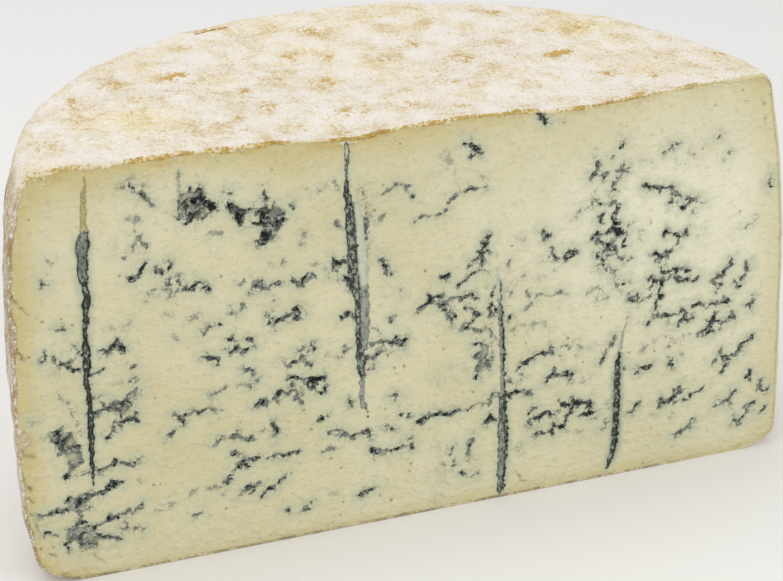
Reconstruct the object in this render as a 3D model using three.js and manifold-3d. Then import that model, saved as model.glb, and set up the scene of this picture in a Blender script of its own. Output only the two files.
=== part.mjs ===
// Half a wheel of blue cheese, standing on its base: barrel-shaped rind wall, a slightly uneven top and a flat
// cut face that shows the needle channels and the open pockets where the blue mould grows. Millimetres, +Z up.
// X runs along the cut face and +Y into the cheese. The finished solid stands on the middle of its own footprint.
import * as THREE from "three";
import { mergeVertices } from "three/addons/utils/BufferGeometryUtils.js";
import { ImprovedNoise } from "three/addons/math/ImprovedNoise.js";
import Module from "manifold-3d";

// The wheel before it was cut
const wheelHeight = 108.6;
const wheelRadius = 100; // at the bulge
const bulgeHeight = 45; // height of the widest ring
const topDraw = 8.2; // how far the wall leans in from the bulge to the top
const topRound = { high: 5.5, wide: 3.4 };
const footRound = { high: 7, wide: 13 };
const slump = { wall: 2.2, foot: 4.5, high: 62 }; // how far wall and foot stand out towards +X, where the wheel sagged
const cutOffset = 3; // the cut passes this far in front of the wheel's axis
const wheelSegments = 104;
const rowSpacing = 7.2; // between rings of the mesh, on the wall and the top

// Hollows in the top, where the wheel sagged under its turning boards: place, spread and depth
const topHollows = [
  { x: -16, y: 2, spread: 12, depth: 1.8 },
  { x: 43, y: 4, spread: 18, depth: 1.9 },
  { x: 5, y: 30, spread: 42, depth: 0.8 },
];
const rindRelief = { wave: 24, height: 0.7 };
const rindLumps = { wave: 13, height: 0.35 };
const cutRelief = { wave: 26, height: 0.35 };
const cutColumns = 44;
const cutRows = 25;

// Channels left by the piercing needles. Each starts at the top or the base and ends inside the wheel.
// x and z are taken on the cut face, first at the end where the needle went in.
const needleChannels = [
  { x: [-78.6, -84], z: [109, 26], radius: 1.15, neck: 13 },
  { x: [-17.4, -14.8], z: [109, 24], radius: 1.6, neck: 9 },
  { x: [22.4, 20.3], z: [-1, 68], radius: 1.4, neck: 0 },
  { x: [52.4, 55], z: [-1, 43], radius: 1.3, neck: 0 },
];
const channelSides = 8;
const channelStep = 3.2; // between the rings of a channel
const channelRaggedness = 0.32; // share of the radius

// Pockets between the curds that the knife opened: place on the cut face, size and tilt in degrees
const pockets = [
  { x: -54, z: 95, long: 9.5, high: 7, tilt: -10, deep: 2.6 },
  { x: -43, z: 92, long: 8, high: 4.5, tilt: -35, deep: 2.6 },
  { x: -37, z: 88, long: 7.5, high: 8, tilt: 60, deep: 3 },
  { x: -54, z: 75.2, long: 6.5, high: 2.2, tilt: -4, deep: 2 },
  { x: -68, z: 81, long: 5, high: 3, tilt: 20, deep: 1.8 },
  { x: -38, z: 73, long: 8, high: 3, tilt: 5, deep: 1.8 },
  { x: -34, z: 64, long: 7.5, high: 3.4, tilt: 12, deep: 2 },
  { x: -75, z: 62.5, long: 5.5, high: 2.6, tilt: 10, deep: 1.8 },
  { x: -90, z: 61, long: 6, high: 2.4, tilt: -12, deep: 1.8 },
  { x: -76, z: 47, long: 8.5, high: 6, tilt: 25, deep: 2.2 },
  { x: -90, z: 41, long: 6.5, high: 9, tilt: -20, deep: 2.2 },
  { x: -31, z: 45, long: 11, high: 4.2, tilt: 6, deep: 2.2 },
  { x: -88, z: 23, long: 12, high: 2.8, tilt: 15, deep: 2.2 },
  { x: -84, z: 12, long: 11, high: 3, tilt: 6, deep: 1.8 },
  { x: 13, z: 99.5, long: 4, high: 3.6, tilt: 30, deep: 2 },
  { x: 32, z: 104.5, long: 3.4, high: 3.4, tilt: 40, deep: 2 },
  { x: 16.5, z: 71, long: 10, high: 2.6, tilt: 62, deep: 2 },
  { x: 7, z: 60.5, long: 10, high: 2.4, tilt: 8, deep: 1.8 },
  { x: 16.3, z: 44, long: 4.4, high: 9, tilt: -6, deep: 2 },
  { x: 9, z: 28.5, long: 15, high: 2.4, tilt: 5, deep: 1.8 },
  { x: 51, z: 71, long: 5.5, high: 12, tilt: -8, deep: 2 },
  { x: 42, z: 23.5, long: 11, high: 3, tilt: 2, deep: 2 },
  { x: 38, z: 17.3, long: 8, high: 2.2, tilt: 10, deep: 1.6 },
  { x: 65, z: 57, long: 9, high: 2.6, tilt: 8, deep: 1.8 },
  { x: 82, z: 41, long: 8, high: 3, tilt: 28, deep: 1.8 },
  { x: 70, z: 21.5, long: 9, high: 2.4, tilt: 20, deep: 1.6 },
  { x: 96, z: 78.5, long: 5.5, high: 1.6, tilt: 78, deep: 1.6 },
  { x: -99, z: 36, long: 4.5, high: 5, tilt: 0, deep: 1.8 },
];
const pocketDetail = 1; // subdivisions of the icosahedron that each pocket starts from
const pocketRaggedness = 0.3;

const paste = new THREE.MeshStandardMaterial({ name: "paste", color: 0xd8d2ae, roughness: 0.5, metalness: 0 });

const wasm = await Module();
wasm.setup();
const noise = new ImprovedNoise();

// Smooth noise from -1 to 1 that repeats nothing over the size of the cheese.
function relief(x, y, z, wave) {
  return noise.noise(x / wave + 11.3, y / wave + 5.7, z / wave + 2.1);
}

// The wall's radius at a height: upright below the bulge, leaning in above it.
function wallRadius(height) {
  const above = Math.max(0, height - bulgeHeight) / (wheelHeight - bulgeHeight);
  return wheelRadius - topDraw * above * above;
}

// The wheel's outline from the middle of the base, out, up the wall and back to the middle of the top.
function wheelOutline() {
  const outline = [];
  const footRadius = wallRadius(footRound.high) - footRound.wide;
  const topRadius = wallRadius(wheelHeight - topRound.high) - topRound.wide;
  const steps = (length) => Math.round(length / rowSpacing);
  const baseSteps = steps(footRadius / 2);
  for (let i = 0; i < baseSteps; i++) outline.push([(footRadius * i) / baseSteps, 0]);
  for (let i = 0; i <= 5; i++) {
    const turn = (i / 5) * (Math.PI / 2);
    outline.push([footRadius + footRound.wide * Math.sin(turn), footRound.high * (1 - Math.cos(turn))]);
  }
  const wallHeight = wheelHeight - topRound.high - footRound.high;
  const wallSteps = steps(wallHeight);
  for (let i = 1; i < wallSteps; i++) {
    const height = footRound.high + (wallHeight * i) / wallSteps;
    outline.push([wallRadius(height), height]);
  }
  for (let i = 0; i <= 4; i++) {
    const turn = (i / 4) * (Math.PI / 2);
    const height = wheelHeight - topRound.high * (1 - Math.sin(turn));
    outline.push([topRadius + topRound.wide * Math.cos(turn), height]);
  }
  const topSteps = steps(topRadius);
  for (let i = topSteps - 1; i >= 0; i--) outline.push([(topRadius * i) / topSteps, wheelHeight]);
  return outline.map(([radius, height]) => new THREE.Vector2(radius, height));
}

// How far the top sinks at a place, in millimetres.
function hollowAt(x, y) {
  return topHollows.reduce((sum, h) => {
    const away = ((x - h.x) ** 2 + (y - h.y) ** 2) / h.spread ** 2;
    return sum + h.depth * Math.exp(-away);
  }, 0);
}

// How far the wheel stands out on the side where it slumped. toSide is the cosine of the angle from +X.
function slumpAt(toSide, radius, height) {
  const aboveFoot = THREE.MathUtils.smoothstep(height, 0, footRound.high);
  const wall = slump.wall * aboveFoot * (1 - THREE.MathUtils.smoothstep(height, 0, slump.high));
  const foot = slump.foot * (1 - aboveFoot) * (radius / wheelRadius) ** 2;
  return Math.max(0, toSide) * (wall + foot);
}

// Moves each vertex of a geometry by a function of its place.
function reshape(geometry, move) {
  const position = geometry.getAttribute("position");
  const point = new THREE.Vector3();
  for (let i = 0; i < position.count; i++) {
    point.fromBufferAttribute(position, i);
    move(point);
    position.setXYZ(i, point.x, point.y, point.z);
  }
  return geometry;
}

// A closed geometry as a manifold-3d solid.
function solid(geometry) {
  geometry.deleteAttribute("normal");
  geometry.deleteAttribute("uv");
  const merged = mergeVertices(geometry, 1e-4);
  return new wasm.Manifold(
    new wasm.Mesh({
      numProp: 3,
      vertProperties: new Float32Array(merged.getAttribute("position").array),
      triVerts: new Uint32Array(merged.index.array),
    }),
  );
}

// The whole wheel, its axis on the origin, with the rind's relief. The base stays flat.
function wheelSolid() {
  const geometry = new THREE.LatheGeometry(wheelOutline(), wheelSegments);
  geometry.rotateX(Math.PI / 2);
  reshape(geometry, (p) => {
    const radius = Math.hypot(p.x, p.y);
    const raised = THREE.MathUtils.smoothstep(p.z, 0, footRound.high);
    const onTop = THREE.MathUtils.smoothstep(p.z, wheelHeight - topRound.high, wheelHeight);
    const bump =
      rindRelief.height * relief(p.x, p.y, p.z, rindRelief.wave) +
      rindLumps.height * relief(p.x, p.y, p.z, rindLumps.wave);
    if (radius > 1) {
      const outward = 1 + (raised * (1 - onTop) * bump + slumpAt(p.x / radius, radius, p.z)) / radius;
      p.x *= outward;
      p.y *= outward;
    }
    p.z += onTop * (bump - hollowAt(p.x, p.y)) * THREE.MathUtils.smoothstep(p.z, bulgeHeight, wheelHeight);
  });
  return solid(geometry);
}

// What the knife takes away: a block whose back face is the cut, slightly wavy.
function wasteSolid() {
  const margin = 12;
  const width = 2 * (wheelRadius + margin);
  const height = wheelHeight + 2 * margin;
  const geometry = new THREE.BoxGeometry(width, wheelRadius + margin, height, cutColumns, 1, cutRows);
  geometry.translate(0, -cutOffset - (wheelRadius + margin) / 2, wheelHeight / 2);
  reshape(geometry, (p) => {
    if (p.y > -wheelRadius / 2) p.y += cutRelief.height * relief(p.x, 40, p.z, cutRelief.wave);
  });
  return solid(geometry);
}

// One needle channel: a ragged round rod, narrow at the neck where the rind closed over it, pointed at its end.
function channelSolid(channel) {
  const [z0, z1] = channel.z;
  const length = Math.abs(z1 - z0);
  const rings = Math.round(length / channelStep);
  const geometry = new THREE.CylinderGeometry(1, 1, 1, channelSides, rings);
  geometry.rotateX(Math.PI / 2);
  reshape(geometry, (p) => {
    const along = p.z + 0.5; // 0 at the lower end
    const fromEntry = z0 > z1 ? 1 - along : along;
    const z = Math.min(z0, z1) + along * length;
    const x = THREE.MathUtils.lerp(channel.x[0], channel.x[1], fromEntry);
    const neck = channel.neck ? 0.35 + 0.65 * THREE.MathUtils.smoothstep(fromEntry * length, 0, channel.neck) : 1;
    const point = 0.15 + 0.85 * THREE.MathUtils.smoothstep((1 - fromEntry) * length, 0, 14);
    const ragged = 1 + channelRaggedness * relief(x + p.x * 4, p.y * 4, z, 5);
    const radius = channel.radius * neck * point * ragged;
    p.set(x + p.x * radius, p.y * radius - cutOffset, z);
  });
  return solid(geometry);
}

// One pocket: a ragged lens, half of which lies behind the cut face.
function pocketSolid(pocket) {
  const geometry = new THREE.IcosahedronGeometry(1, pocketDetail);
  reshape(geometry, (p) => {
    const ragged = 1 + pocketRaggedness * relief(pocket.x + p.x * 9, p.y * 9, pocket.z + p.z * 9, 4.5);
    p.set((p.x * pocket.long) / 2, p.y * pocket.deep, (p.z * pocket.high) / 2).multiplyScalar(ragged);
  });
  geometry.rotateY(-THREE.MathUtils.degToRad(pocket.tilt));
  geometry.translate(pocket.x, -cutOffset, pocket.z);
  return solid(geometry);
}

// The solid as a geometry, moved so that it stands on the middle of its footprint.
function standing(cheese) {
  const { vertProperties, triVerts } = cheese.getMesh();
  const geometry = new THREE.BufferGeometry();
  geometry.setAttribute("position", new THREE.BufferAttribute(new Float32Array(vertProperties), 3));
  geometry.setIndex(new THREE.BufferAttribute(new Uint32Array(triVerts), 1));
  geometry.computeBoundingBox();
  const { min, max } = geometry.boundingBox;
  geometry.translate(-(min.x + max.x) / 2, -(min.y + max.y) / 2, -min.z);
  geometry.computeVertexNormals();
  return geometry;
}

const hollows = [...needleChannels.map(channelSolid), ...pockets.map(pocketSolid)];
const cheeseSolid = hollows.reduce((body, hollow) => body.subtract(hollow), wheelSolid().subtract(wasteSolid()));

const cheese = new THREE.Mesh(standing(cheeseSolid), paste);
cheese.name = "cheese";

const part = new THREE.Group();
part.add(cheese);
export default part;
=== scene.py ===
import math

import bpy
import numpy as np
from mathutils import Matrix, Vector, noise


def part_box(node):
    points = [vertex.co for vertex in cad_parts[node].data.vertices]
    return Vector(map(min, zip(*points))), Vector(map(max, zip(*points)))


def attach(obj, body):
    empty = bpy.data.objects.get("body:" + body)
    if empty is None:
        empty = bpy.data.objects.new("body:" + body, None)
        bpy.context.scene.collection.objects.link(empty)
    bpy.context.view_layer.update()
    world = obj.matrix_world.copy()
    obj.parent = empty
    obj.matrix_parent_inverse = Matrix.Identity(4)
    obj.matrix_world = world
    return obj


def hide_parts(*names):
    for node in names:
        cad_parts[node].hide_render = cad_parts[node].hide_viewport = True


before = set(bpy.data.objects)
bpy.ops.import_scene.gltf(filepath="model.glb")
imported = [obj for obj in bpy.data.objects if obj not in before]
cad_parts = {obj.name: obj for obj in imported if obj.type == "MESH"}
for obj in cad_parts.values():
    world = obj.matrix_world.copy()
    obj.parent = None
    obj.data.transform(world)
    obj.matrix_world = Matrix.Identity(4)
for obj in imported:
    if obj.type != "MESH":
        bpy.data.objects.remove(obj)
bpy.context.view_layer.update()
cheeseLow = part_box("cheese")[0]
mm = 0.001
print("frame loaded")


# the wheel's form, in millimetres from its axis, shared by the paste and the rind
wheel = {
    "height": 108.6,
    "radius": 100,
    "bulgeHeight": 45,
    "topDraw": 8.2,
    "topRoundHigh": 5.5,
    "topRoundWide": 3.4,
    "footRoundHigh": 8.5,
    "footRoundWide": 13.5,
    "slumpWall": 2.2,
    "slumpFoot": 4.5,
    "slumpHigh": 62,
    # how far the wall on the left stands out or in: height, millimetres
    "leftWall": [(0, -1.2), (8, -0.8), (18, 0.5), (32, 0.5), (45, 0), (58, -0.6), (70, -0.3), (82, 0.5),
                 (92, 0.9), (100, 0.7), (106, -0.2), (109, -0.4)],
    "dentBehind": 0.4,
    "cutOffset": 3,
    "standOut": (0.2, 0.3),  # how far the solid's box reaches past the wall and past the cut
    "turnSteps": 24,
    "wallSteps": 40,
    # hollows in the top: x, y, spread, depth
    "hollows": [(-16, 2, 12, 1.8), (43, 4, 18, 1.9), (5, 30, 42, 0.8)],
}
axisPlace = Vector((
    cheeseLow.x / mm + wheel["radius"] + wheel["standOut"][0],
    cheeseLow.y / mm + wheel["cutOffset"] + wheel["standOut"][1],
    0,
))


def smoothStep(value, low, high):
    t = np.clip((value - low) / (high - low), 0, 1)
    return t * t * (3 - 2 * t)


def wallRadius(height):
    above = np.clip(height - wheel["bulgeHeight"], 0, None) / (wheel["height"] - wheel["bulgeHeight"])
    return wheel["radius"] - wheel["topDraw"] * above**2


def skinProfile():
    # the outline from the edge of the top, round, down the wall and under to the flat of the base
    turn = np.linspace(0, math.pi / 2, wheel["turnSteps"])
    topFoot = wheel["height"] - wheel["topRoundHigh"]
    topRadius = wallRadius(topFoot) - wheel["topRoundWide"]
    footRadius = wallRadius(wheel["footRoundHigh"]) - wheel["footRoundWide"]
    wall = np.linspace(topFoot, wheel["footRoundHigh"], wheel["wallSteps"])[1:-1]
    radius = np.concatenate([
        topRadius + wheel["topRoundWide"] * np.sin(turn),
        wallRadius(wall),
        footRadius + wheel["footRoundWide"] * np.cos(turn),
    ])
    height = np.concatenate([
        wheel["height"] - wheel["topRoundHigh"] * (1 - np.cos(turn)),
        wall,
        wheel["footRoundHigh"] * (1 - np.sin(turn)),
    ])
    along = np.concatenate([[0], np.cumsum(np.hypot(np.diff(radius), np.diff(height)))])
    return radius, height, along / along[-1]


profileRadius, profileHeight, profileAlong = skinProfile()


def slumpAt(toSide, radius, height):
    aboveFoot = smoothStep(height, 0, wheel["footRoundHigh"])
    wall = wheel["slumpWall"] * aboveFoot * (1 - smoothStep(height, 0, wheel["slumpHigh"]))
    foot = wheel["slumpFoot"] * (1 - aboveFoot) * (radius / wheel["radius"]) ** 2
    left = np.interp(height, *np.transpose(wheel["leftWall"]))
    dent = wheel["dentBehind"] * np.exp(-((toSide + 0.88) / 0.14) ** 2) * smoothStep(height, 55, 100)
    return np.clip(toSide, 0, None) * (wall + foot) + np.clip(-toSide, 0, None) * left - dent


def hollowAt(x, y):
    return sum(d * np.exp(-((x - hx) ** 2 + (y - hy) ** 2) / s**2) for hx, hy, s, d in wheel["hollows"])


def halfWidthAt(height, side):
    # how far the cut face reaches to one side at a height
    radius = np.interp(height, profileHeight[::-1], profileRadius[::-1])
    radius = radius + slumpAt(side, radius, height)
    return np.sqrt(radius**2 - wheel["cutOffset"] ** 2)


def toLinear(hexColour):
    parts = [int(hexColour[i:i + 2], 16) / 255 for i in (1, 3, 5)]
    return [c / 12.92 if c <= 0.04045 else ((c + 0.055) / 1.055) ** 2.4 for c in parts] + [1]


def readPlaces(piece):
    places = np.empty(len(piece.data.vertices) * 3)
    piece.data.vertices.foreach_get("co", places)
    return places.reshape(-1, 3)


def writePlaces(piece, places):
    piece.data.vertices.foreach_set("co", places.ravel())
    piece.data.update()


def pickOnly(piece):
    bpy.ops.object.select_all(action="DESELECT")
    piece.select_set(True)
    bpy.context.view_layer.objects.active = piece


def startEdges(piece):
    # edit mode, for picking edges, with nothing selected
    pickOnly(piece)
    bpy.ops.object.mode_set(mode="EDIT")
    bpy.ops.mesh.select_mode(type="EDGE")
    bpy.ops.mesh.select_all(action="DESELECT")


def selectEdges(piece, chosen):
    # selects the edges whose flag is set, and leaves the piece in edit mode
    startEdges(piece)
    bpy.ops.object.mode_set(mode="OBJECT")
    piece.data.edges.foreach_set("select", chosen)
    bpy.ops.object.mode_set(mode="EDIT")


def edgeEnds(piece):
    ends = np.empty(len(piece.data.edges) * 2, int)
    piece.data.edges.foreach_get("vertices", ends)
    return ends.reshape(-1, 2)


def openEdges(piece):
    # selects the open rim of a piece and leaves it in edit mode
    startEdges(piece)
    bpy.ops.mesh.select_non_manifold(
        extend=False, use_wire=False, use_boundary=True, use_multi_face=False,
        use_non_contiguous=False, use_verts=False,
    )


def selectedVertices(piece):
    chosen = np.empty(len(piece.data.vertices), bool)
    piece.data.vertices.foreach_get("select", chosen)
    return chosen


def displace(piece, kind, settings, strength, group):
    texture = bpy.data.textures.new(piece.name + kind.title(), kind)
    for key, value in settings.items():
        setattr(texture, key, value)
    step = piece.modifiers.new(kind.title(), "DISPLACE")
    step.texture = texture
    step.texture_coords = "LOCAL"
    step.direction = "NORMAL"
    step.strength = strength
    step.mid_level = 0.5
    step.vertex_group = group
    pickOnly(piece)
    bpy.ops.object.modifier_apply(modifier=step.name)


def noiseField(x, z, size, seed):
    return np.array([noise.noise(Vector((a / size, seed, b / size))) for a, b in zip(x, z)])


def weightGroup(piece, name, weights):
    group = piece.vertex_groups.new(name=name)
    for index in np.flatnonzero(weights > 0.001):
        group.add([int(index)], float(weights[index]), "REPLACE")


def writeUv(piece, corners):
    layer = piece.data.uv_layers.get("OFBake") or piece.data.uv_layers.new(name="OFBake")
    layer.data.foreach_set("uv", corners.ravel())


def inMap(share, margin=0.003):
    # keeps a margin at both ends of the map
    return margin + (1 - 2 * margin) * share


def cornerVertices(piece):
    index = np.empty(len(piece.data.loops), int)
    piece.data.loops.foreach_get("vertex_index", index)
    return index


def floatAttribute(piece, name, values):
    attribute = piece.data.attributes.new(name, "FLOAT", "POINT")
    attribute.data.foreach_set("value", np.asarray(values, np.float32))


def openHalfWheel(name, columns, rows, inset, back, uvRegions):
    # the half wheel's skin, open at the cut: a grid bent to a half disc, its arc drawn down and under
    bpy.ops.object.select_all(action="DESELECT")
    bpy.ops.mesh.primitive_grid_add(x_subdivisions=columns, y_subdivisions=columns // 2, size=2)
    piece = bpy.context.object
    piece.name = name
    piece.data.name = name
    places = readPlaces(piece)
    across = places[:, 0].copy()
    behind = (places[:, 1] + 1) / 2
    nearlyOne = 0.9999
    onArc = (np.abs(across) > nearlyOne) | (behind > nearlyOne)
    places[:, 0] = across * np.sqrt(1 - behind**2 / 2)
    places[:, 1] = behind * np.sqrt(1 - across**2 / 2)
    writePlaces(piece, places)
    topFaces = len(piece.data.polygons)

    ends = edgeEnds(piece)
    selectEdges(piece, onArc[ends].all(axis=1))
    bpy.ops.mesh.extrude_region_move(TRANSFORM_OT_translate={"value": (0, 0, -1)})
    bpy.ops.object.mode_set(mode="OBJECT")
    places = readPlaces(piece)
    ends = edgeEnds(piece)
    upright = np.abs(places[ends[:, 0], 2] - places[ends[:, 1], 2]) > 0.5
    selectEdges(piece, upright)
    bpy.ops.mesh.subdivide(number_cuts=rows - 1)
    bpy.ops.object.mode_set(mode="OBJECT")
    wallFaces = len(piece.data.polygons) - topFaces

    places = readPlaces(piece)
    ends = edgeEnds(piece)
    lowest = places[:, 2] < -nearlyOne
    selectEdges(piece, lowest[ends].all(axis=1))
    bpy.ops.mesh.edge_face_add()
    bpy.ops.object.mode_set(mode="OBJECT")
    ends = edgeEnds(piece)
    length = np.linalg.norm(places[ends[:, 0]] - places[ends[:, 1]], axis=1)
    selectEdges(piece, lowest[ends].all(axis=1) & (length > 1))
    bpy.ops.mesh.subdivide(number_cuts=columns - 1)
    bpy.ops.object.mode_set(mode="OBJECT")

    # unit places become the real wheel
    unit = readPlaces(piece)
    along = -unit[:, 2]
    radius = np.interp(along, profileAlong, profileRadius) - inset
    height = np.interp(along, profileAlong, profileHeight)
    cut = wheel["cutOffset"] - back
    y = -cut + unit[:, 1] * (radius + cut)
    x = unit[:, 0] * np.sqrt((radius + cut) * (radius + y) / (1 + unit[:, 1]))
    onCut = unit[:, 1] < 1e-5
    reach = np.maximum(np.hypot(x, y), 1)
    slump = slumpAt(x / reach, reach, height) / reach
    x *= 1 + slump
    y = np.where(onCut, -cut, y * (1 + slump))
    sunk = smoothStep(height, wheel["height"] - wheel["topRoundHigh"], wheel["height"]) * hollowAt(x, y)
    height = inset + height * (1 - 2 * inset / wheel["height"]) - sunk
    writePlaces(piece, np.stack([x, y, height], axis=1) * mm)

    # top, wall and base each have their own part of the map
    corner = cornerVertices(piece)
    uv = np.zeros((len(corner), 2))
    firstWall = topFaces * 4
    firstBase = firstWall + wallFaces * 4
    angle = np.arctan2(unit[:, 1], unit[:, 0]) / math.pi
    maps = [
        (slice(0, firstWall), (unit[:, 0] + 1) / 2, unit[:, 1]),
        (slice(firstWall, firstBase), 1 - angle, 1 - along),
        (slice(firstBase, None), (unit[:, 0] + 1) / 2, unit[:, 1]),
    ]
    for (part, u, v), (low, high) in zip(maps, uvRegions):
        uv[part, 0] = inMap(u[corner[part]])
        uv[part, 1] = low + (high - low) * v[corner[part]]
    writeUv(piece, uv)
    return piece


# rind: a dry skin, crumbly where the knife went through; lengths in millimetres
rindSkin = {
    "columns": 236,
    "rows": 84,
    "thickness": 1.5,
    "hiddenGrid": (40, 14),  # columns and rows of the shells that nobody sees
    "hiddenBack": 3,  # how far behind the cut the hidden shell starts
    # width of the broken edge along the cut: foot, top, left, right
    "lipWidths": (0.5, 1.1, 0.8, 0.75),
    "lipRagged": 0.8,
    # how much of that width is left along the cut: x, share
    "lipAlong": [(-100, 1), (-20, 1), (15, 0.6), (40, 0.45), (60, 0.9), (75, 0.6), (95, 0.5), (102, 0.4)],
    "lipLeast": 0.62,
    "lipForward": 0.1,
    "lipWavy": 0.25,
    "turnBack": 2,  # how far the lip goes back into the paste
    # a flap torn over the paste on the left: height, half height, width
    "flap": (41.5, 2.4, 3.2),
    # relief of the skin: size, strength
    "lumps": (14, 1.3),
    "grain": (3.2, 0.5),
    "flakes": (6.5, 0.45),
    # parts of the map, low and high: top, wall, base
    "uvRegions": [(0.53, 0.997), (0.2, 0.52), (0.1, 0.19)],
    "lipMap": (0.01, 0.09),
    "hiddenMap": (0.0, 0.003),
    # worn places on the top: x, y behind the axis, half width, half depth, strength
    "rust": [
        (-48, 48, 4, 2.8, 1.5), (-63, 46, 3.5, 3.7, 0.9), (-74, 37, 2.4, 5, 0.7), (-75, 27, 2.2, 3, 0.5),
        (-41, 70, 3, 3.5, 0.4), (-6, 72, 3.6, 5, 0.8), (0, 58, 2.5, 3.2, 0.5), (-16, 54, 2.8, 4.7, 0.7),
        (-6, 51, 2.4, 3.9, 0.5), (8, 43, 4, 3, 0.8), (17, 53, 2.2, 3.9, 0.9), (-12, 32, 4, 4.3, 0.8),
        (-23, 38, 2, 3, 0.6), (-33, 32, 3.3, 3, 0.7), (-30, 20, 1.7, 3.4, 1.5), (-12, 11, 6, 3.9, 0.7),
        (-39, 14, 1.4, 2, 0.9), (-44, 11, 2.2, 2.5, 0.4), (-25, 6, 2.2, 3.2, 0.5), (3, 10, 2, 2.8, 1),
        (-83, 11, 1.3, 2, 0.5), (-17, 1, 2, 1.4, 0.9), (50, 31, 3.7, 2.4, 1.8), (26, 37, 2.8, 4.5, 1.1),
        (17, 22, 2, 2.8, 0.7), (56, 13, 1.6, 2.2, 1), (65, 8, 1.6, 2.2, 0.9), (57, -2, 2.3, 1.9, 1),
        (87, 15, 2.3, 3, 0.8), (64, 49, 4.5, 5, 0.7), (46, 69, 3.5, 2.6, 0.7), (52, 49, 2.6, 3.4, 0.6),
        (61, 28, 1.9, 2.4, 0.6), (14, 5, 1.6, 2, 0.8), (14, 69, 3, 3.5, 0.5), (27, 66, 4, 3.5, 0.5),
        (39, 44, 2.8, 4, 0.6), (-30, 82, 6, 2, 0.8),
    ],
    "yellow": [(-62, 20, 12, 9, 0.9), (64, 49, 8, 8, 0.7), (-10, 60, 14, 8, 0.4), (5, 76, 55, 18, 0.25),
               (70, 35, 22, 25, 0.2)],
    # a crack in the top, near its back edge: x, y of each point
    "crack": [(-35, 79.5), (-31, 81.3), (-25.5, 82.6)],
}


def outlineInward(x, z):
    # direction from a point of the cut's outline into the face: a rounded box has a smooth one
    halfHigh = wheel["height"] / 2
    px = np.sign(x) * np.abs(x / wheel["radius"]) ** 9 / wheel["radius"]
    pz = np.sign(z - halfHigh) * np.abs((z - halfHigh) / halfHigh) ** 9 / halfHigh
    size = np.hypot(px, pz)
    return -px / size, -pz / size


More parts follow.
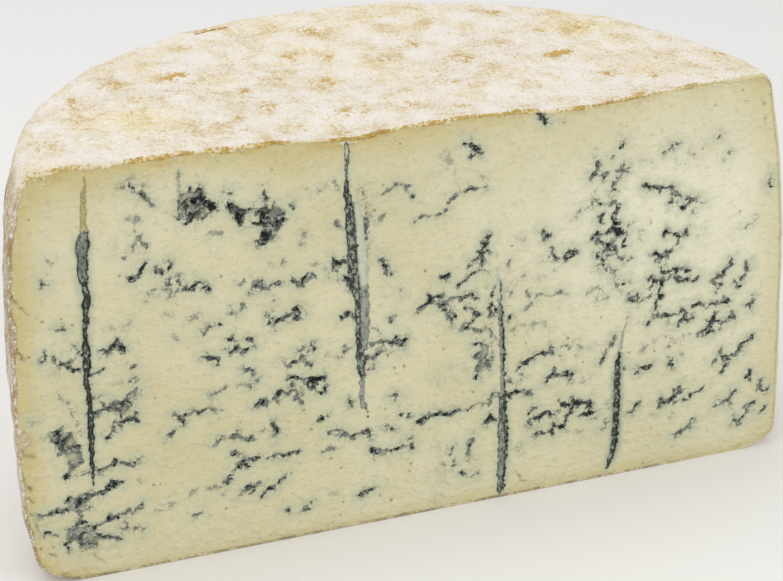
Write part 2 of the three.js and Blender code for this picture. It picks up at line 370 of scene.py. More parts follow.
def makeRind():
    rind = openHalfWheel("rind", rindSkin["columns"], rindSkin["rows"], 0, 0, rindSkin["uvRegions"])
    plain = readPlaces(rind) / mm
    fromCut = plain[:, 1] + wheel["cutOffset"]
    loose = smoothStep(plain[:, 2], 0, wheel["footRoundHigh"]) * (0.45 + 0.55 * smoothStep(fromCut, 0, 5))
    weightGroup(rind, "loose", loose)
    for kind, (size, strength), more in (
        ("CLOUDS", rindSkin["lumps"], {"noise_depth": 1}),
        ("STUCCI", rindSkin["flakes"], {"turbulence": 4}),
        ("CLOUDS", rindSkin["grain"], {"noise_depth": 3}),
    ):
        displace(rind, kind, {"noise_scale": size * mm, **more}, strength * mm, "loose")

    # the lip that shows at the cut: ragged on its inner side, then turned back behind the paste
    openEdges(rind)
    bpy.ops.mesh.extrude_region_move(TRANSFORM_OT_translate={"value": (0, 0, 0)})
    bpy.ops.object.mode_set(mode="OBJECT")
    places = readPlaces(rind) / mm
    lip = selectedVertices(rind)
    ends = edgeEnds(rind)
    ends = ends[lip[ends[:, 0]] != lip[ends[:, 1]]]
    ends = np.where(lip[ends[:, :1]], ends, ends[:, ::-1])
    x, y, z = plain[ends[:, 1]].T
    inX, inZ = outlineInward(x, z)
    ragged = noiseField(x, z, 1.5, 3.1) + 0.7 * noiseField(x, z, 3.4, 5.3)
    uneven = noiseField(x, z, 9, 7.7)
    sides = [np.clip(part, 0, None) ** 2 for part in (inZ, -inZ, inX, -inX)]
    width = sum(part * wide for part, wide in zip(sides, rindSkin["lipWidths"]))
    width *= np.interp(x, *np.transpose(rindSkin["lipAlong"]))
    width *= np.clip(1 + rindSkin["lipRagged"] * ragged + 1.6 * uneven, 0, 2.4)
    flapHeight, flapHalf, flapWidth = rindSkin["flap"]
    width += flapWidth * sides[2] * np.exp(-((z - flapHeight) / flapHalf) ** 2) * (1 + 0.5 * ragged)
    width = np.maximum(width, rindSkin["lipLeast"])
    front = y - rindSkin["lipForward"] + rindSkin["lipWavy"] * ragged
    places[ends[:, 0]] = np.stack([x + inX * width, front, z + inZ * width], axis=1)
    writePlaces(rind, places * mm)
    lipFaces = len(rind.data.polygons) - int(lip.sum())
    corner = cornerVertices(rind)
    uv = np.empty(len(corner) * 2)
    rind.data.uv_layers["OFBake"].data.foreach_get("uv", uv)
    uv = uv.reshape(-1, 2)
    first = rind.data.polygons[lipFaces].loop_start
    around = np.arctan2(places[:, 2] - wheel["height"] / 2, places[:, 0] * 0.54) / (2 * math.pi) + 0.5
    low, high = rindSkin["lipMap"]
    inner = np.zeros(len(places))
    inner[lip] = 1
    uv[first:, 0] = inMap(around[corner[first:]])
    uv[first:, 1] = low + (high - low) * inner[corner[first:]]
    writeUv(rind, uv)

    openEdges(rind)
    turnBack = rindSkin["turnBack"] * mm
    bpy.ops.mesh.extrude_region_move(TRANSFORM_OT_translate={"value": (0, turnBack, 0)})
    bpy.ops.object.mode_set(mode="OBJECT")
    x, y, z = (readPlaces(rind) / mm).T
    rust, yellow = np.zeros(len(x)), np.zeros(len(x))
    for field, spots in ((rust, rindSkin["rust"]), (yellow, rindSkin["yellow"])):
        for cx, cy, rx, ry, strength in spots:
            field += strength * np.exp(-((x - cx) / rx) ** 2 - ((y - cy) / ry) ** 2)
    floatAttribute(rind, "rust", rust)
    floatAttribute(rind, "yellow", np.clip(yellow, 0, 1))
    height = wheel["height"]
    # pale to the very edge: the right end of the cut, and about half of that the torn flap
    rightEnd = smoothStep(x, 60, 85) * (1 - smoothStep(y + wheel["cutOffset"], 1, 7))
    flapped = np.exp(-((z - flapHeight) / flapHalf) ** 2) * (x < -90) * (y < 1 - wheel["cutOffset"])
    rightEnd = np.maximum(rightEnd, 0.55 * flapped)
    wall = 1 - smoothStep(z + hollowAt(x, y) + 7 * noiseField(x + y, z, 9, 9.1), height - 15, height - 1)
    floatAttribute(rind, "wall", wall * (1 - rightEnd))
    crack = np.full(len(x), -9.0)
    for (ax, ay), (bx, by) in zip(rindSkin["crack"], rindSkin["crack"][1:]):
        along = ((x - ax) * (bx - ax) + (y - ay) * (by - ay)) / ((bx - ax) ** 2 + (by - ay) ** 2)
        along = np.clip(along, 0, 1)
        crack = np.maximum(crack, -np.hypot(x - ax - along * (bx - ax), y - ay - along * (by - ay)))
    floatAttribute(rind, "crack", np.where(z > height / 2, crack, -9))
    # 0 on the rind, 0.5 on the corner of the cut, 1 on the paste's side of the broken edge
    edge = np.ones(len(x))
    edge[:len(plain)] = 0.5 * (1 - smoothStep(fromCut, 0, 2))
    floatAttribute(rind, "edge", edge)
    floatAttribute(rind, "foot", 1 - smoothStep(z, 2, 9))
    floatAttribute(rind, "rightEnd", rightEnd)
    upper = smoothStep(z + hollowAt(x, y), height - 7, height - 3)
    floatAttribute(rind, "upper", np.maximum(upper, rightEnd))

    inside = openHalfWheel(
        "rindInside", *rindSkin["hiddenGrid"], rindSkin["thickness"], rindSkin["hiddenBack"],
        [rindSkin["hiddenMap"]] * 3,
    )
    bpy.ops.object.mode_set(mode="EDIT")
    bpy.ops.mesh.select_all(action="SELECT")
    bpy.ops.mesh.flip_normals()
    bpy.ops.object.mode_set(mode="OBJECT")
    return closeOnto(rind, inside)


def closeOnto(piece, inside):
    # joins a coarse hidden shell to a piece and bridges their two open rims
    pickOnly(piece)
    inside.select_set(True)
    bpy.ops.object.join()
    openEdges(piece)
    bpy.ops.mesh.bridge_edge_loops()
    bpy.ops.object.mode_set(mode="OBJECT")
    return piece


# mould marks on the cut face: tone (1 is black), width, then x and z of each point along the mark
veinMarks = [
    # left of the first needle channel
    (0.5, 0.8, -88, 87.3, -87.5, 86.3),
    (0.8, 0.8, -89.9, 82, -89.7, 80.5),
    (0.8, 0.8, -87.6, 69.5, -87, 69.6, -86.2, 69),
    (0.85, 1, -92, 62, -91, 63.3, -89.8, 62.3, -88.5, 60.5, -87.3, 60, -85.5, 58.8, -84, 58),
    (0.45, 0.9, -88.3, 60, -89.3, 57.8),
    (0.7, 0.8, -86.5, 59.8, -85.2, 61, -84, 61.8, -83, 62),
    (0.5, 1, -84.3, 64.7, -83.6, 64),
    (0.9, 0.6, -96, 47, -95.3, 46),
    (0.5, 0.7, -88.5, 51.7, -87.5, 50, -86.3, 48.3, -86.5, 46, -85.3, 43.2, -85, 41),
    (0.95, 1.1, -92.5, 41, -91.5, 40.3, -91, 39, -90.3, 38, -90.2, 36.5),
    (0.9, 1, -92.3, 41.4, -91, 42.2, -90.2, 42.8),
    (0.75, 1.2, -89, 43, -88.5, 41.5, -88, 39.5, -87, 38, -86, 37.5, -86, 36),
    (0.8, 0.9, -90.3, 36.8, -89, 37, -88.3, 36),
    (0.7, 1.5, -87.5, 38, -87.3, 35.5, -87.7, 33, -88.3, 31.5, -89.5, 30),
    (0.45, 4.2, -89, 40.5, -88, 37.5, -87.3, 34),
    (0.4, 0.7, -93.9, 42.2, -93.4, 41.6),
    (0.7, 0.8, -86.8, 30, -85.5, 29.8, -84, 30),
    (0.95, 1.3, -97, 20.3, -96.4, 20.4),
    (0.85, 0.9, -96.4, 20.4, -94.5, 20.8, -92.5, 20.8, -91, 21, -89.5, 20.8),
    (0.75, 1.6, -90, 23.2, -88.6, 22.6, -87, 23.2, -86, 24, -84.5, 24),
    (0.8, 1.1, -84.5, 24, -83, 23.7, -81.2, 23.9),
    (0.5, 3.8, -88.3, 22, -86, 23),
    (1, 1.2, -81, 24, -80.3, 25, -79, 25.8, -77.8, 25.6, -76.8, 25.8),
    (0.8, 0.8, -86, 21.4, -85.6, 20.5),
    (0.6, 0.7, -88.5, 21, -87.5, 19.5, -87.3, 17.5),
    (0.9, 0.9, -96, 15.4, -95.6, 15.2),
    (0.6, 0.8, -95.3, 14.8, -94, 14.2, -92.3, 14.4, -90, 15.3, -88.5, 15.6),
    (0.9, 1.2, -88.5, 15.6, -87.5, 17, -86.5, 16.3, -86, 15, -85, 14.7, -84.5, 13.8),
    (0.8, 0.9, -84.5, 14.6, -83, 15, -81, 15.6, -80.2, 16.4, -78, 16.6, -74.5, 17.2, -72.5, 17.5, -72, 18.4),
    (0.85, 0.9, -92.3, 10.5, -91.5, 11, -91, 11.8, -89.5, 12, -89, 11),
    (0.7, 0.8, -90.8, 9.6, -91.3, 8.6),
    (0.9, 1.1, -89, 11, -87.5, 10.5, -86, 11, -84.8, 11, -84, 12, -82.7, 11.2, -81, 11, -80, 10.3, -78.7, 10),
    (0.42, 4.4, -89.5, 13.3, -86.5, 12.2, -85.5, 10.5),
    (0.7, 0.9, -77.5, 12.3, -76.8, 13.3, -76.3, 12, -74.8, 11.6, -73, 11.7, -72.8, 10.6),
    (0.4, 0.9, -78.5, 13.8, -77, 13.5, -76.5, 14.5),
    (0.5, 1.1, -88, 8.5, -86.5, 8.8, -86, 8),
    # between the first channel and the big openings
    (0.45, 1, -70.5, 102.5, -69, 103, -67.8, 104),
    (0.85, 0.9, -68, 101.8, -66.5, 100.2, -65.5, 100, -64.8, 98.8, -63.8, 97),
    (0.5, 0.8, -66.3, 100.3, -65.4, 99),
    (0.5, 0.7, -65.6, 102.2, -64.8, 101.5),
    (0.4, 1, -69, 94.3, -66.8, 94),
    (0.45, 1.1, -68, 93.5, -67.8, 91.5, -67.3, 89.5, -68.3, 87, -68.5, 86),
    (0.5, 0.9, -67, 89, -66, 88, -65.8, 86.5),
    (0.45, 0.7, -71, 85, -70.6, 86),
    (0.3, 0.9, -72.8, 87.5, -73, 86.3),
    (0.85, 1.3, -66.3, 82.6, -67.3, 81, -68.2, 80, -69.8, 79),
    (0.75, 1.5, -63.7, 80.9, -63, 80, -62.4, 80.3),
    (0.45, 0.6, -64.5, 76, -66, 75, -66.8, 73.5, -66.4, 72.8, -65.5, 73.9),
    (0.6, 0.7, -63.8, 74.5, -62.5, 75.8, -61.3, 75.2, -61, 73.7),
    (0.95, 0.7, -60.6, 82.3, -60.7, 79, -60.9, 76.3),
    (0.3, 1.4, -62.3, 68.7, -61.9, 68),
    (0.6, 0.7, -61, 62.5, -60.6, 61.8),
    (0.8, 0.8, -81.5, 56, -80, 56.3, -78.7, 57),
    (1, 1.2, -78, 61.7, -76.5, 62, -75.2, 62.8, -73.8, 62.8, -73.3, 61.3),
    (0.95, 1.2, -74.4, 64, -73.6, 63.2),
    (0.3, 0.8, -73.3, 59.5, -72.3, 58),
    (0.7, 0.8, -72, 56.6, -71.2, 56.7),
    (0.22, 1.7, -77, 67, -72.5, 67.2),
    (0.4, 0.7, -71.3, 68.2, -71.5, 67),
    (0.95, 1.1, -82.6, 46.5, -81.5, 45.8, -80.3, 46.2, -79.5, 46.7, -78, 46.7,
     -76.5, 46, -76, 45.2, -75, 46.5),
    (0.7, 0.8, -82, 50.2, -80, 49.8),
    (0.95, 0.9, -79, 48.8, -77.8, 48.8),
    (1, 1.2, -76.3, 48.5, -75, 47.5, -74.3, 46.8, -74, 48),
    (1, 0.9, -73.3, 47.3, -72.3, 46),
    (0.85, 0.8, -73, 49, -72, 48.5, -70.7, 49, -71.3, 50.5),
    (0.95, 1.1, -75.5, 44.8, -74.5, 43, -73, 42.7, -71.5, 42.3, -71.5, 43.6),
    (0.95, 1.1, -74.5, 42.9, -75.5, 41.3, -77, 41, -77.7, 39.8, -79.3, 38.9),
    (0.8, 0.8, -77, 42.3, -76.5, 41.2),
    (0.4, 2.6, -76.5, 47, -74, 45.5),
    (0.85, 0.9, -72, 53.5, -71, 53.3, -70.8, 51.8),
    (0.3, 0.9, -75.5, 53.3, -73, 52.3),
    (0.9, 0.9, -82.4, 31.2, -81.5, 30, -80.3, 30, -79, 31, -77.8, 31.5, -76.5, 30.9),
    (0.95, 1, -76.5, 30.9, -75.8, 31.2, -75, 30.5, -73.5, 30.2, -71.6, 30.8),
    (0.7, 1.1, -62.5, 42.3, -62, 40.5, -61, 41),
    (0.8, 0.6, -61.8, 38, -63.3, 36.8, -64.8, 35.5),
    (0.45, 0.6, -69, 15.8, -67, 16, -65.5, 16.5, -64.8, 17.2),
    (0.25, 1.4, -72.8, 25.7, -72.3, 25.2),
    # the big openings under the top, with their dark linings
    (0.55, 3, -56.3, 95, -54.7, 93.3, -53, 93),
    (0.6, 3, -55, 97, -53.2, 97.6, -53, 95.5),
    (1, 1, -54.8, 99.3, -54.3, 97.8),
    (1, 1, -52.6, 99.4, -52.2, 98, -52, 96.4, -53.2, 95.3, -53.4, 94.3),
    (0.9, 0.8, -57.2, 96.8, -56.3, 96),
    (0.8, 0.7, -58, 94.5, -57.5, 93, -56, 91.5, -54.5, 91.2),
    (0.9, 1.4, -51.5, 94.6, -50, 95.3, -48.8, 93.8),
    (0.85, 1.2, -51.5, 92, -50.5, 93, -49.5, 94),
    (0.3, 0.6, -57, 103.5, -57.1, 100, -56.8, 97.3),
    (1, 1.5, -46, 94.5, -45, 93, -44, 91, -43.2, 89.3),
    (0.8, 0.7, -46.1, 97.9, -45.8, 97.2),
    (0.9, 1.4, -43.8, 92.4, -41.5, 91.5, -40, 92),
    (0.8, 0.7, -37.4, 96.5, -37.2, 94, -37.2, 92.6),
    (0.75, 1.3, -39.5, 91, -38, 91.5, -37, 92),
    (1, 1.2, -38.2, 91.5, -37.8, 89.5, -38.3, 87.5, -40, 88.6),
    (0.6, 3.4, -36.5, 90.3, -35, 90, -34.7, 88.5, -36, 87, -37.5, 85, -38.3, 84),
    (0.9, 1, -35.5, 92.2, -34.9, 91, -34.6, 89.5, -33.5, 88.5),
    (0.9, 0.9, -32.8, 89.8, -32.9, 88.6),
    (0.9, 0.9, -34.8, 87.5, -34.9, 86.3),
    (0.9, 1, -36.2, 85.2, -36, 84),
    (1, 1.2, -39.8, 84, -38.8, 83.2, -38, 84),
    (1, 0.9, -31.6, 92, -30.8, 91.9, -30.9, 91.1),
    (0.35, 1.5, -50, 88, -48.5, 87.2),
    (0.35, 1.1, -24.5, 94.2, -22, 95.2, -21, 95.8, -20, 95.3, -19.6, 93.5),
    (0.4, 1.1, -20.5, 85.5, -19.6, 84.5, -19, 83.5),
    (0.4, 1.3, -28.4, 83.5, -29, 81.5),
    # left of the second channel
    (0.8, 0.8, -58.8, 78, -58.4, 76.2, -59.1, 75),
    (1, 1.3, -57.3, 74.8, -55.8, 75.1),
    (1, 1.3, -55.3, 75.4, -54.2, 76, -53.2, 75.3),
    (1, 1.1, -52.9, 74, -52.3, 74.7, -52.2, 73.9),
    (0.5, 0.7, -44.5, 73.2, -42.5, 74.7, -41.4, 75.4),
    (0.95, 1, -41.8, 71.3, -41.5, 72.5, -39.7, 73, -39.2, 72.2),
    (0.8, 1.1, -39.5, 72, -37.5, 71.2, -36.3, 72, -35, 72.6),
    (0.35, 0.9, -36.8, 78, -36.6, 77),
    (0.35, 1, -34, 78, -33.5, 77),
    (0.8, 1.4, -31.3, 72.8, -30.5, 71.3, -29.3, 71, -29, 72.2, -27.3, 73),
    (0.95, 1.5, -22, 74.5, -21.3, 75.8, -19.5, 75, -18.3, 75.3),
    (0.7, 1.1, -22.3, 72.8, -20.8, 72.8),
    (0.9, 1.2, -19, 71.3, -18.2, 70.2, -17.3, 69.4, -16.8, 68),
    (0.25, 1.9, -27.3, 76.2, -26.6, 75.7),
    (0.35, 0.9, -57, 66.5, -55.4, 67.6, -54.3, 66.3),
    (0.55, 0.9, -47, 67.3, -46.5, 66, -44, 67, -43.7, 68.5),
    (0.4, 0.7, -36.5, 68.5, -36.3, 67),
    (0.75, 0.9, -54.5, 61.8, -53.5, 63.3, -52.6, 64.3, -51.8, 64),
    (0.85, 0.9, -50.2, 64.4, -49.8, 64.2),
    (0.9, 0.9, -37.8, 65, -37.9, 63, -37.8, 62),
    (0.85, 1.5, -36.8, 61.5, -35.5, 62.5, -34, 62.5, -33.2, 63.5),
    (1, 1.1, -32.5, 64, -31.5, 65.5, -30.5, 64.3, -29.8, 63.3, -31, 62.8),
    (0.95, 1, -47.6, 60, -46.6, 59),
    (0.95, 0.9, -43.5, 58.8, -42.5, 58.5, -42, 56.8),
    (0.95, 1.1, -54.3, 56, -53, 56, -51.5, 54.8, -51.2, 53.8),
    (0.95, 1, -48.3, 56.3, -46, 56.8, -45.5, 55.3, -43.8, 56),
    (0.85, 0.9, -20, 60.5, -18, 61.3, -17, 60, -16, 59.8),
    (0.8, 1, -60.8, 40.7, -59.8, 40.8, -60.1, 38.8),
    (0.7, 1, -59.2, 42, -58, 42, -56.8, 41.3, -55.5, 41, -54.5, 42, -53, 41.2, -51.5, 40.7),
    (0.55, 0.7, -53.7, 46, -52.5, 45.3, -51, 46.2, -50, 46.5),
    (0.35, 0.7, -53.5, 44.5, -53.8, 43),
    (1, 1, -44.3, 50.7, -43, 50.8, -42.3, 49.8, -42.2, 48.3, -41.5, 47.2),
    (0.55, 0.7, -46.3, 46.8, -44.8, 46.5, -43.5, 45.8, -43.3, 46.6),
    (0.85, 0.9, -30.7, 53.4, -29, 53.8, -27.7, 54),
    (1, 1.1, -28, 54.4, -27.3, 53.3),
    (0.5, 1.2, -35, 51.8, -34.5, 50.5, -34, 50),
    (0.65, 1.2, -32.5, 50.5, -31.5, 50.8, -30.3, 50, -30, 51.5, -29.3, 49.5, -28, 49.3),
    (0.35, 1, -24, 50.2, -22, 50, -20.6, 49.6),
    (0.6, 1.1, -19.5, 51.8, -18, 52.3),
    (0.9, 1.2, -33.8, 45.8, -33, 46.3, -31.5, 45.8, -30.5, 45.3, -29.5, 44.5),
    (1, 2, -29.5, 44.6, -28.5, 44.8, -27, 44.4, -25.5, 44.8),
    (0.8, 1.1, -33.5, 45, -33, 43.8, -32.8, 42.5, -32.5, 40.8, -31.3, 40, -31, 39),
    (0.9, 1.2, -33.5, 42.7, -35, 42.7, -36, 42.5, -37, 42.7),
    (0.6, 0.9, -32, 43, -31, 42, -30.5, 43),
    (0.9, 1, -28.5, 43, -27.3, 42.2, -26.3, 41, -24.8, 41, -24.7, 42),
    (0.6, 0.9, -38.5, 41.5, -37, 40.5, -36.3, 41),
    (1, 1.3, -42.5, 40.5, -41.5, 40.3, -40.7, 40.5, -40, 41.3, -39.3, 40.5),
    (0.7, 1, -53.5, 31.5, -52.6, 32.7, -51, 32.8),
    (0.75, 1, -49.5, 32.7, -48, 33, -46.5, 31.8, -45, 31.3, -43.8, 31.8),
    (0.7, 0.8, -48, 33, -47.5, 33.9),
    (0.35, 0.6, -41.3, 32.3, -40.7, 33, -40.6, 34.8),
    (1, 1.3, -38.2, 34.5, -37.9, 33, -37.5, 32, -38, 30.8),
    (1, 1.2, -26.4, 33.3, -25.5, 33.8),
    (0.6, 0.6, -25.5, 33.8, -24.2, 35),
    (1, 1.2, -48.5, 27.8, -48, 27.8),
    (0.85, 1.3, -24.2, 29, -22.8, 29.3, -21.5, 28.7, -20.5, 28, -19.8, 27),
    (1, 1.1, -19, 37, -18.3, 36, -18, 35.4),
    (0.85, 1.3, -48.8, 23.5, -48.3, 24.2, -47.5, 24, -46.8, 25.2, -46, 25.3, -46.2, 26),
    (1, 1.2, -46, 24, -45.5, 23.6),
    (0.95, 1.2, -44.5, 25.3, -43.3, 25.5, -42.8, 25.8),
    (0.85, 1, -51, 20.4, -50.5, 21.3, -49.8, 21.6),
    (0.5, 1.2, -55, 19, -54, 19.5, -53, 18.8),
    (0.5, 0.9, -52.3, 16.6, -51.6, 17.5),
    (0.95, 1.3, -47, 16.4, -46, 17.2, -45.2, 17.3),
    (0.6, 1, -48.4, 15.3, -47, 16.3),
    (0.6, 1, -44.7, 16, -43.8, 17.5, -43, 18.5, -42, 18),
    (0.85, 1, -42, 14.3, -41, 15, -40, 15.8, -39, 16),
    (0.9, 0.6, -39, 16, -38, 17, -36.8, 18, -35.8, 18.9),
    (1, 0.9, -40, 24.5, -39.2, 24.7),
    (0.6, 0.9, -39, 25.5, -38, 25.7, -37.2, 25, -37, 24.4),
    (1, 1.2, -37, 24.4, -35.5, 24.6, -34, 25, -32.6, 25.1),
    (0.55, 1, -25.7, 23.8, -24.5, 24, -23.5, 24.3),
    (0.25, 1.9, -24.2, 11.2, -23.8, 10.9),
    (0.9, 0.8, -32, 8, -31, 8.7, -30, 9.4),
    (0.85, 0.8, -35.7, 8.4, -35.3, 8.2),
    (0.35, 0.9, -60.5, 18, -59.5, 19.3, -58.7, 19),
    (0.6, 0.9, -60, 12, -58.5, 12.5, -57.7, 12.8),
    # round the second channel and to its right
    (0.45, 0.7, -13.7, 94.5, -13.4, 91, -13.2, 87, -12.9, 83, -13, 80, -12.8, 77.5),
    (0.35, 1.1, -12, 88.5, -12, 86.3),
    (0.35, 1.1, -11, 84, -9, 85.5, -8.3, 86),
    (0.6, 0.8, -8.7, 91.2, -7, 92.3, -5.8, 93, -4.2, 92.5, -3, 92.8, -2.7, 90.8, -2, 89.8, -0.9, 90),
    (1, 1.1, 12, 101, 12.8, 101.6, 13, 100.5, 13.6, 99.8, 14.6, 100),
    (0.95, 1, 14.6, 100, 15, 98.8, 15.7, 98.2),
    (0.85, 1, 13.4, 98, 14.3, 97.7),
    (0.28, 1.7, 7, 99.5, 7.2, 97.8, 8.5, 96.8),
    (0.28, 1.3, 5, 94.7, 6.3, 95.4),
    (0.22, 1.3, 9, 94.5, 9.8, 92.5),
    (0.6, 0.7, 7.5, 87.3, 9, 88, 11, 89.3, 13, 89.6, 15, 89, 17.2, 89),
    (0.25, 1.2, 16.5, 92.5, 17, 90.5),
    (0.5, 0.8, -1.2, 83.5, 0, 84, 2, 83.8, 4.5, 83.6, 6, 84, 7.5, 84.9),
    (0.85, 1, -9.3, 75, -9, 73, -8.2, 71.8, -7.4, 70.2),
    (0.6, 0.5, -4.5, 65.8, -4.8, 64.3),
    (0.75, 1.1, -7.8, 57.6, -6.7, 58.3),
    (0.35, 0.9, -12.3, 56.3, -11, 56, -10.5, 54.5),
    (1, 1.5, 6, 66.8, 7.2, 66.7),
    (0.95, 0.9, 18, 76.6, 17, 75, 16.5, 73.3, 16.3, 72),
    (0.7, 0.9, 18.3, 72.5, 17.9, 71.3, 18.7, 71.5),
    (0.85, 1.1, 17.8, 72, 16, 71.5, 15.3, 70.5, 13.5, 70, 13.3, 69.2),
    (0.8, 1, 16.2, 70.3, 16.5, 68.5, 17, 67),
    (0.8, 0.9, 17, 67.2, 15.5, 67, 14, 66.8, 12.8, 65.9),
    (1, 1, 12.8, 65.9, 11.5, 64.8, 10.3, 63.8),
    (0.95, 1.1, -0.3, 59, 1.5, 60, 3, 61, 2.2, 62.5),
    (0.7, 0.9, 3, 61, 4.5, 61.8, 6, 61.8),
    (0.85, 1, 3.5, 60.8, 5, 59, 6.5, 60, 8, 61, 9.5, 60.5, 11.5, 60.8, 13.5, 61, 14.3, 59.8),
    (0.4, 1.6, 5.5, 60.5, 11, 60.3),
    (0.8, 1, 6.2, 58.4, 7.5, 57, 9.2, 56),
    (0.7, 0.8, 8.5, 57.8, 8.2, 56.8, 7, 56, 8, 55),
    (0.95, 1.1, 12.2, 57.9, 13.5, 57, 14.5, 55.8, 15.5, 55),
    (0.7, 0.8, -14, 48, -12, 48.2, -10.8, 49.2, -10, 49.8),
    (0.6, 0.9, -13.3, 52.3, -11.8, 52, -10.3, 52.2),
    (0.7, 0.9, -14, 45, -12.5, 45.3, -12, 46),
    (1, 1.3, -9, 51.8, -7.7, 51.2, -6.5, 51.5, -5.7, 51, -4.5, 51.3, -4, 52),
    (0.9, 0.9, -6.2, 53, -6, 52, -5.4, 50.2, -4.7, 49.7),
    (0.45, 0.9, -11.5, 50, -9.5, 51, -8.5, 48, -7, 48.8),
    (0.95, 0.9, -7, 36, -6.3, 36.3, -6.7, 35),
    (0.6, 0.9, -5.5, 30.3, -4, 30.8, -3, 29.8, -2, 28.8),
    (0.8, 0.8, -9.7, 27, -8.8, 28, -7.8, 27, -6.2, 26.4),
    (0.65, 1.5, -20, 27, -18.5, 26.3, -16.5, 26.8, -15, 27, -14.3, 27.5),
    (0.75, 0.8, -14.2, 26, -13.3, 24.5),
    (0.9, 1.1, -13.5, 22, -12.5, 21.3, -11, 20.7, -9, 20.2, -7.5, 20.2, -6.5, 20.5, -5.3, 21, -4.5, 20.7),
    (0.95, 1.2, -4.5, 20.7, -3, 20.6, -2.5, 20.3),
    (1, 0.9, -3.5, 22.8, -2.8, 23.6),
    (0.4, 0.9, -13, 20, -13, 18.5),
    (0.95, 1, -17, 8.8, -16, 9.5, -15, 10, -14, 9.8, -13, 10),
    (0.85, 1.3, -0.7, 26.8, 0.5, 28, 2, 28.8, 3.5, 28.2, 4.5, 28.8, 5.5, 28.8, 6.5, 28.3, 8, 28.3, 9.5, 28.7),
    (0.8, 0.9, 9.5, 28.7, 10.3, 28.3),
    (0.6, 0.8, 12.8, 28.8, 14.5, 29, 15.3, 30, 16.5, 29, 18, 29.3, 18.8, 27.8),
    (0.8, 1, 18.5, 30, 19, 31.5, 20.5, 31, 22, 31.3, 23.5, 30.3),
    (0.8, 0.9, 11, 51.8, 11.8, 53, 12.3, 51.7),
    (0.75, 0.9, 14, 51.2, 16, 50.3, 17.5, 50.8, 18, 52.3),
    (0.7, 0.8, 13, 53, 15, 54.5, 15.5, 55.8),
    (0.6, 0.8, 8.3, 55, 8.2, 53),
    (0.95, 1.1, 14.8, 47, 16, 47, 16.7, 46.3, 16.3, 45, 15.5, 44, 14.7, 43.3),
    (0.85, 1, 17, 46, 18, 45, 17.5, 43.5, 17.8, 42, 18.3, 40.5, 18.4, 39.3),
    (0.9, 1.1, 15.3, 43, 16, 42, 17.5, 41, 18.5, 41.8),
    (0.9, 1.1, 16, 41.5, 15, 40.2, 15.2, 38.5, 14.8, 37.3),
    (0.4, 2.4, 16.6, 45.6, 16.6, 42, 15.4, 39.5),
    (0.6, 0.8, 19.2, 46.5, 18.5, 45.5, 19.5, 43.5),
    (0.55, 0.8, 18.8, 50, 19.3, 48, 20.3, 47),
    (0.28, 1.3, 7.5, 41.8, 8.5, 41.2),
    (0.25, 1.2, 11.4, 40, 12.2, 39.9),
    (0.2, 1.6, 4.2, 40, 5, 37.5),
    (0.3, 1, 7.5, 38.4, 8.5, 38.2),
    (0.16, 2.2, 3.2, 23, 4.5, 18, 5, 12, 5, 6, 4, 3),
    (0.45, 0.9, 5, 13, 6, 12.7),
    (0.4, 0.8, 5, 8.5, 5.2, 5.5),
    (0.9, 1, 7.3, 16.5, 8, 16.8, 8, 18, 8.8, 18),
    (0.95, 1.1, 8.3, 13.8, 8.8, 12.5, 7.5, 12.1),
    (0.75, 1.1, 12.3, 15.5, 12.8, 17, 13.3, 18.5),
    (0.7, 0.8, 13.3, 18.5, 14, 20.2),
    (0.3, 0.9, 12.5, 13, 14.5, 13),
    (0.7, 1.1, 10.5, 9.7, 11.5, 9.2, 12.5, 8.7, 13.5, 8.2, 14.5, 8.5),
    (0.95, 1, 17.5, 23.5, 18.5, 24.3, 19, 25.2),
    (0.9, 1, 18.5, 24, 20, 23.5),
    # round the third channel and on to the tall cluster
    (0.9, 1, 19.7, 62, 18.7, 59.5, 18.5, 56, 18.8, 54.5, 19.8, 55.6),
    (1, 1.5, 31.3, 106, 31.9, 104.8, 32.7, 103.8),
    (0.3, 0.7, 36.4, 103.4, 36.8, 103.4),
    (0.35, 0.8, 45.6, 93.9, 45.5, 92.8),
    (0.85, 1, 46.5, 91.2, 46.6, 89.5, 45, 88.3, 44.8, 87.4),
    (0.85, 1.2, 45.2, 88.2, 47.2, 88, 48.5, 87.2),
    (0.65, 1, 48.8, 88, 50.2, 88.8, 51.4, 88.5),
    (0.8, 1.3, 51.5, 88.5, 52.8, 88, 53.8, 88),
    (0.8, 0.9, 52.6, 89.4, 52.6, 88, 52, 86.5),
    (0.75, 1, 52.6, 96.1, 52.8, 94.9, 52, 95),
    (0.7, 0.9, 50.2, 92.4, 50.2, 91.9),
    (0.7, 0.8, 54.5, 88.7, 54.9, 88.7),
    (0.95, 0.9, 51.1, 85.3, 51, 83.5, 50.4, 82.5),
    (0.35, 1.1, 58, 90.5, 59, 89.5, 60.2, 89),
    (0.3, 0.9, 46.3, 84, 45.5, 83.5),
    (0.4, 0.9, 23.8, 59.5, 24, 60.5, 24.7, 62),
    (0.35, 0.8, 22, 60.5, 24.2, 60.5),
    (0.3, 0.8, 24.7, 62, 26, 63.3, 27.5, 64, 29.5, 63.5, 31.5, 62.5, 33.5, 63, 36, 63.8, 38.5, 65.3),
    (0.95, 0.9, 32, 75.2, 33, 74, 33.2, 72.9),
    (0.9, 0.8, 33, 74, 33.9, 73.8),
    (0.9, 0.9, 35, 69.8, 35, 68.7, 36, 67.3),
    (0.5, 0.5, 35, 68.7, 33.8, 67.5, 32.2, 66.9),
    (1, 1.4, 38.5, 67.4, 39.2, 66.9, 40.3, 67.1),
    (1, 1, 39.5, 68, 40.5, 68.5, 41, 67.5),
    (0.5, 0.8, 28.6, 59.5, 28.8, 58.5, 28, 57),
    (0.5, 0.9, 27.6, 54.8, 29.5, 55.5, 30.3, 56.8, 32, 57.7, 34, 57.2, 36, 57.4, 38.3, 57.6, 38.8, 56.5),
    (0.25, 2.1, 25.8, 74.2, 26.6, 73.8),
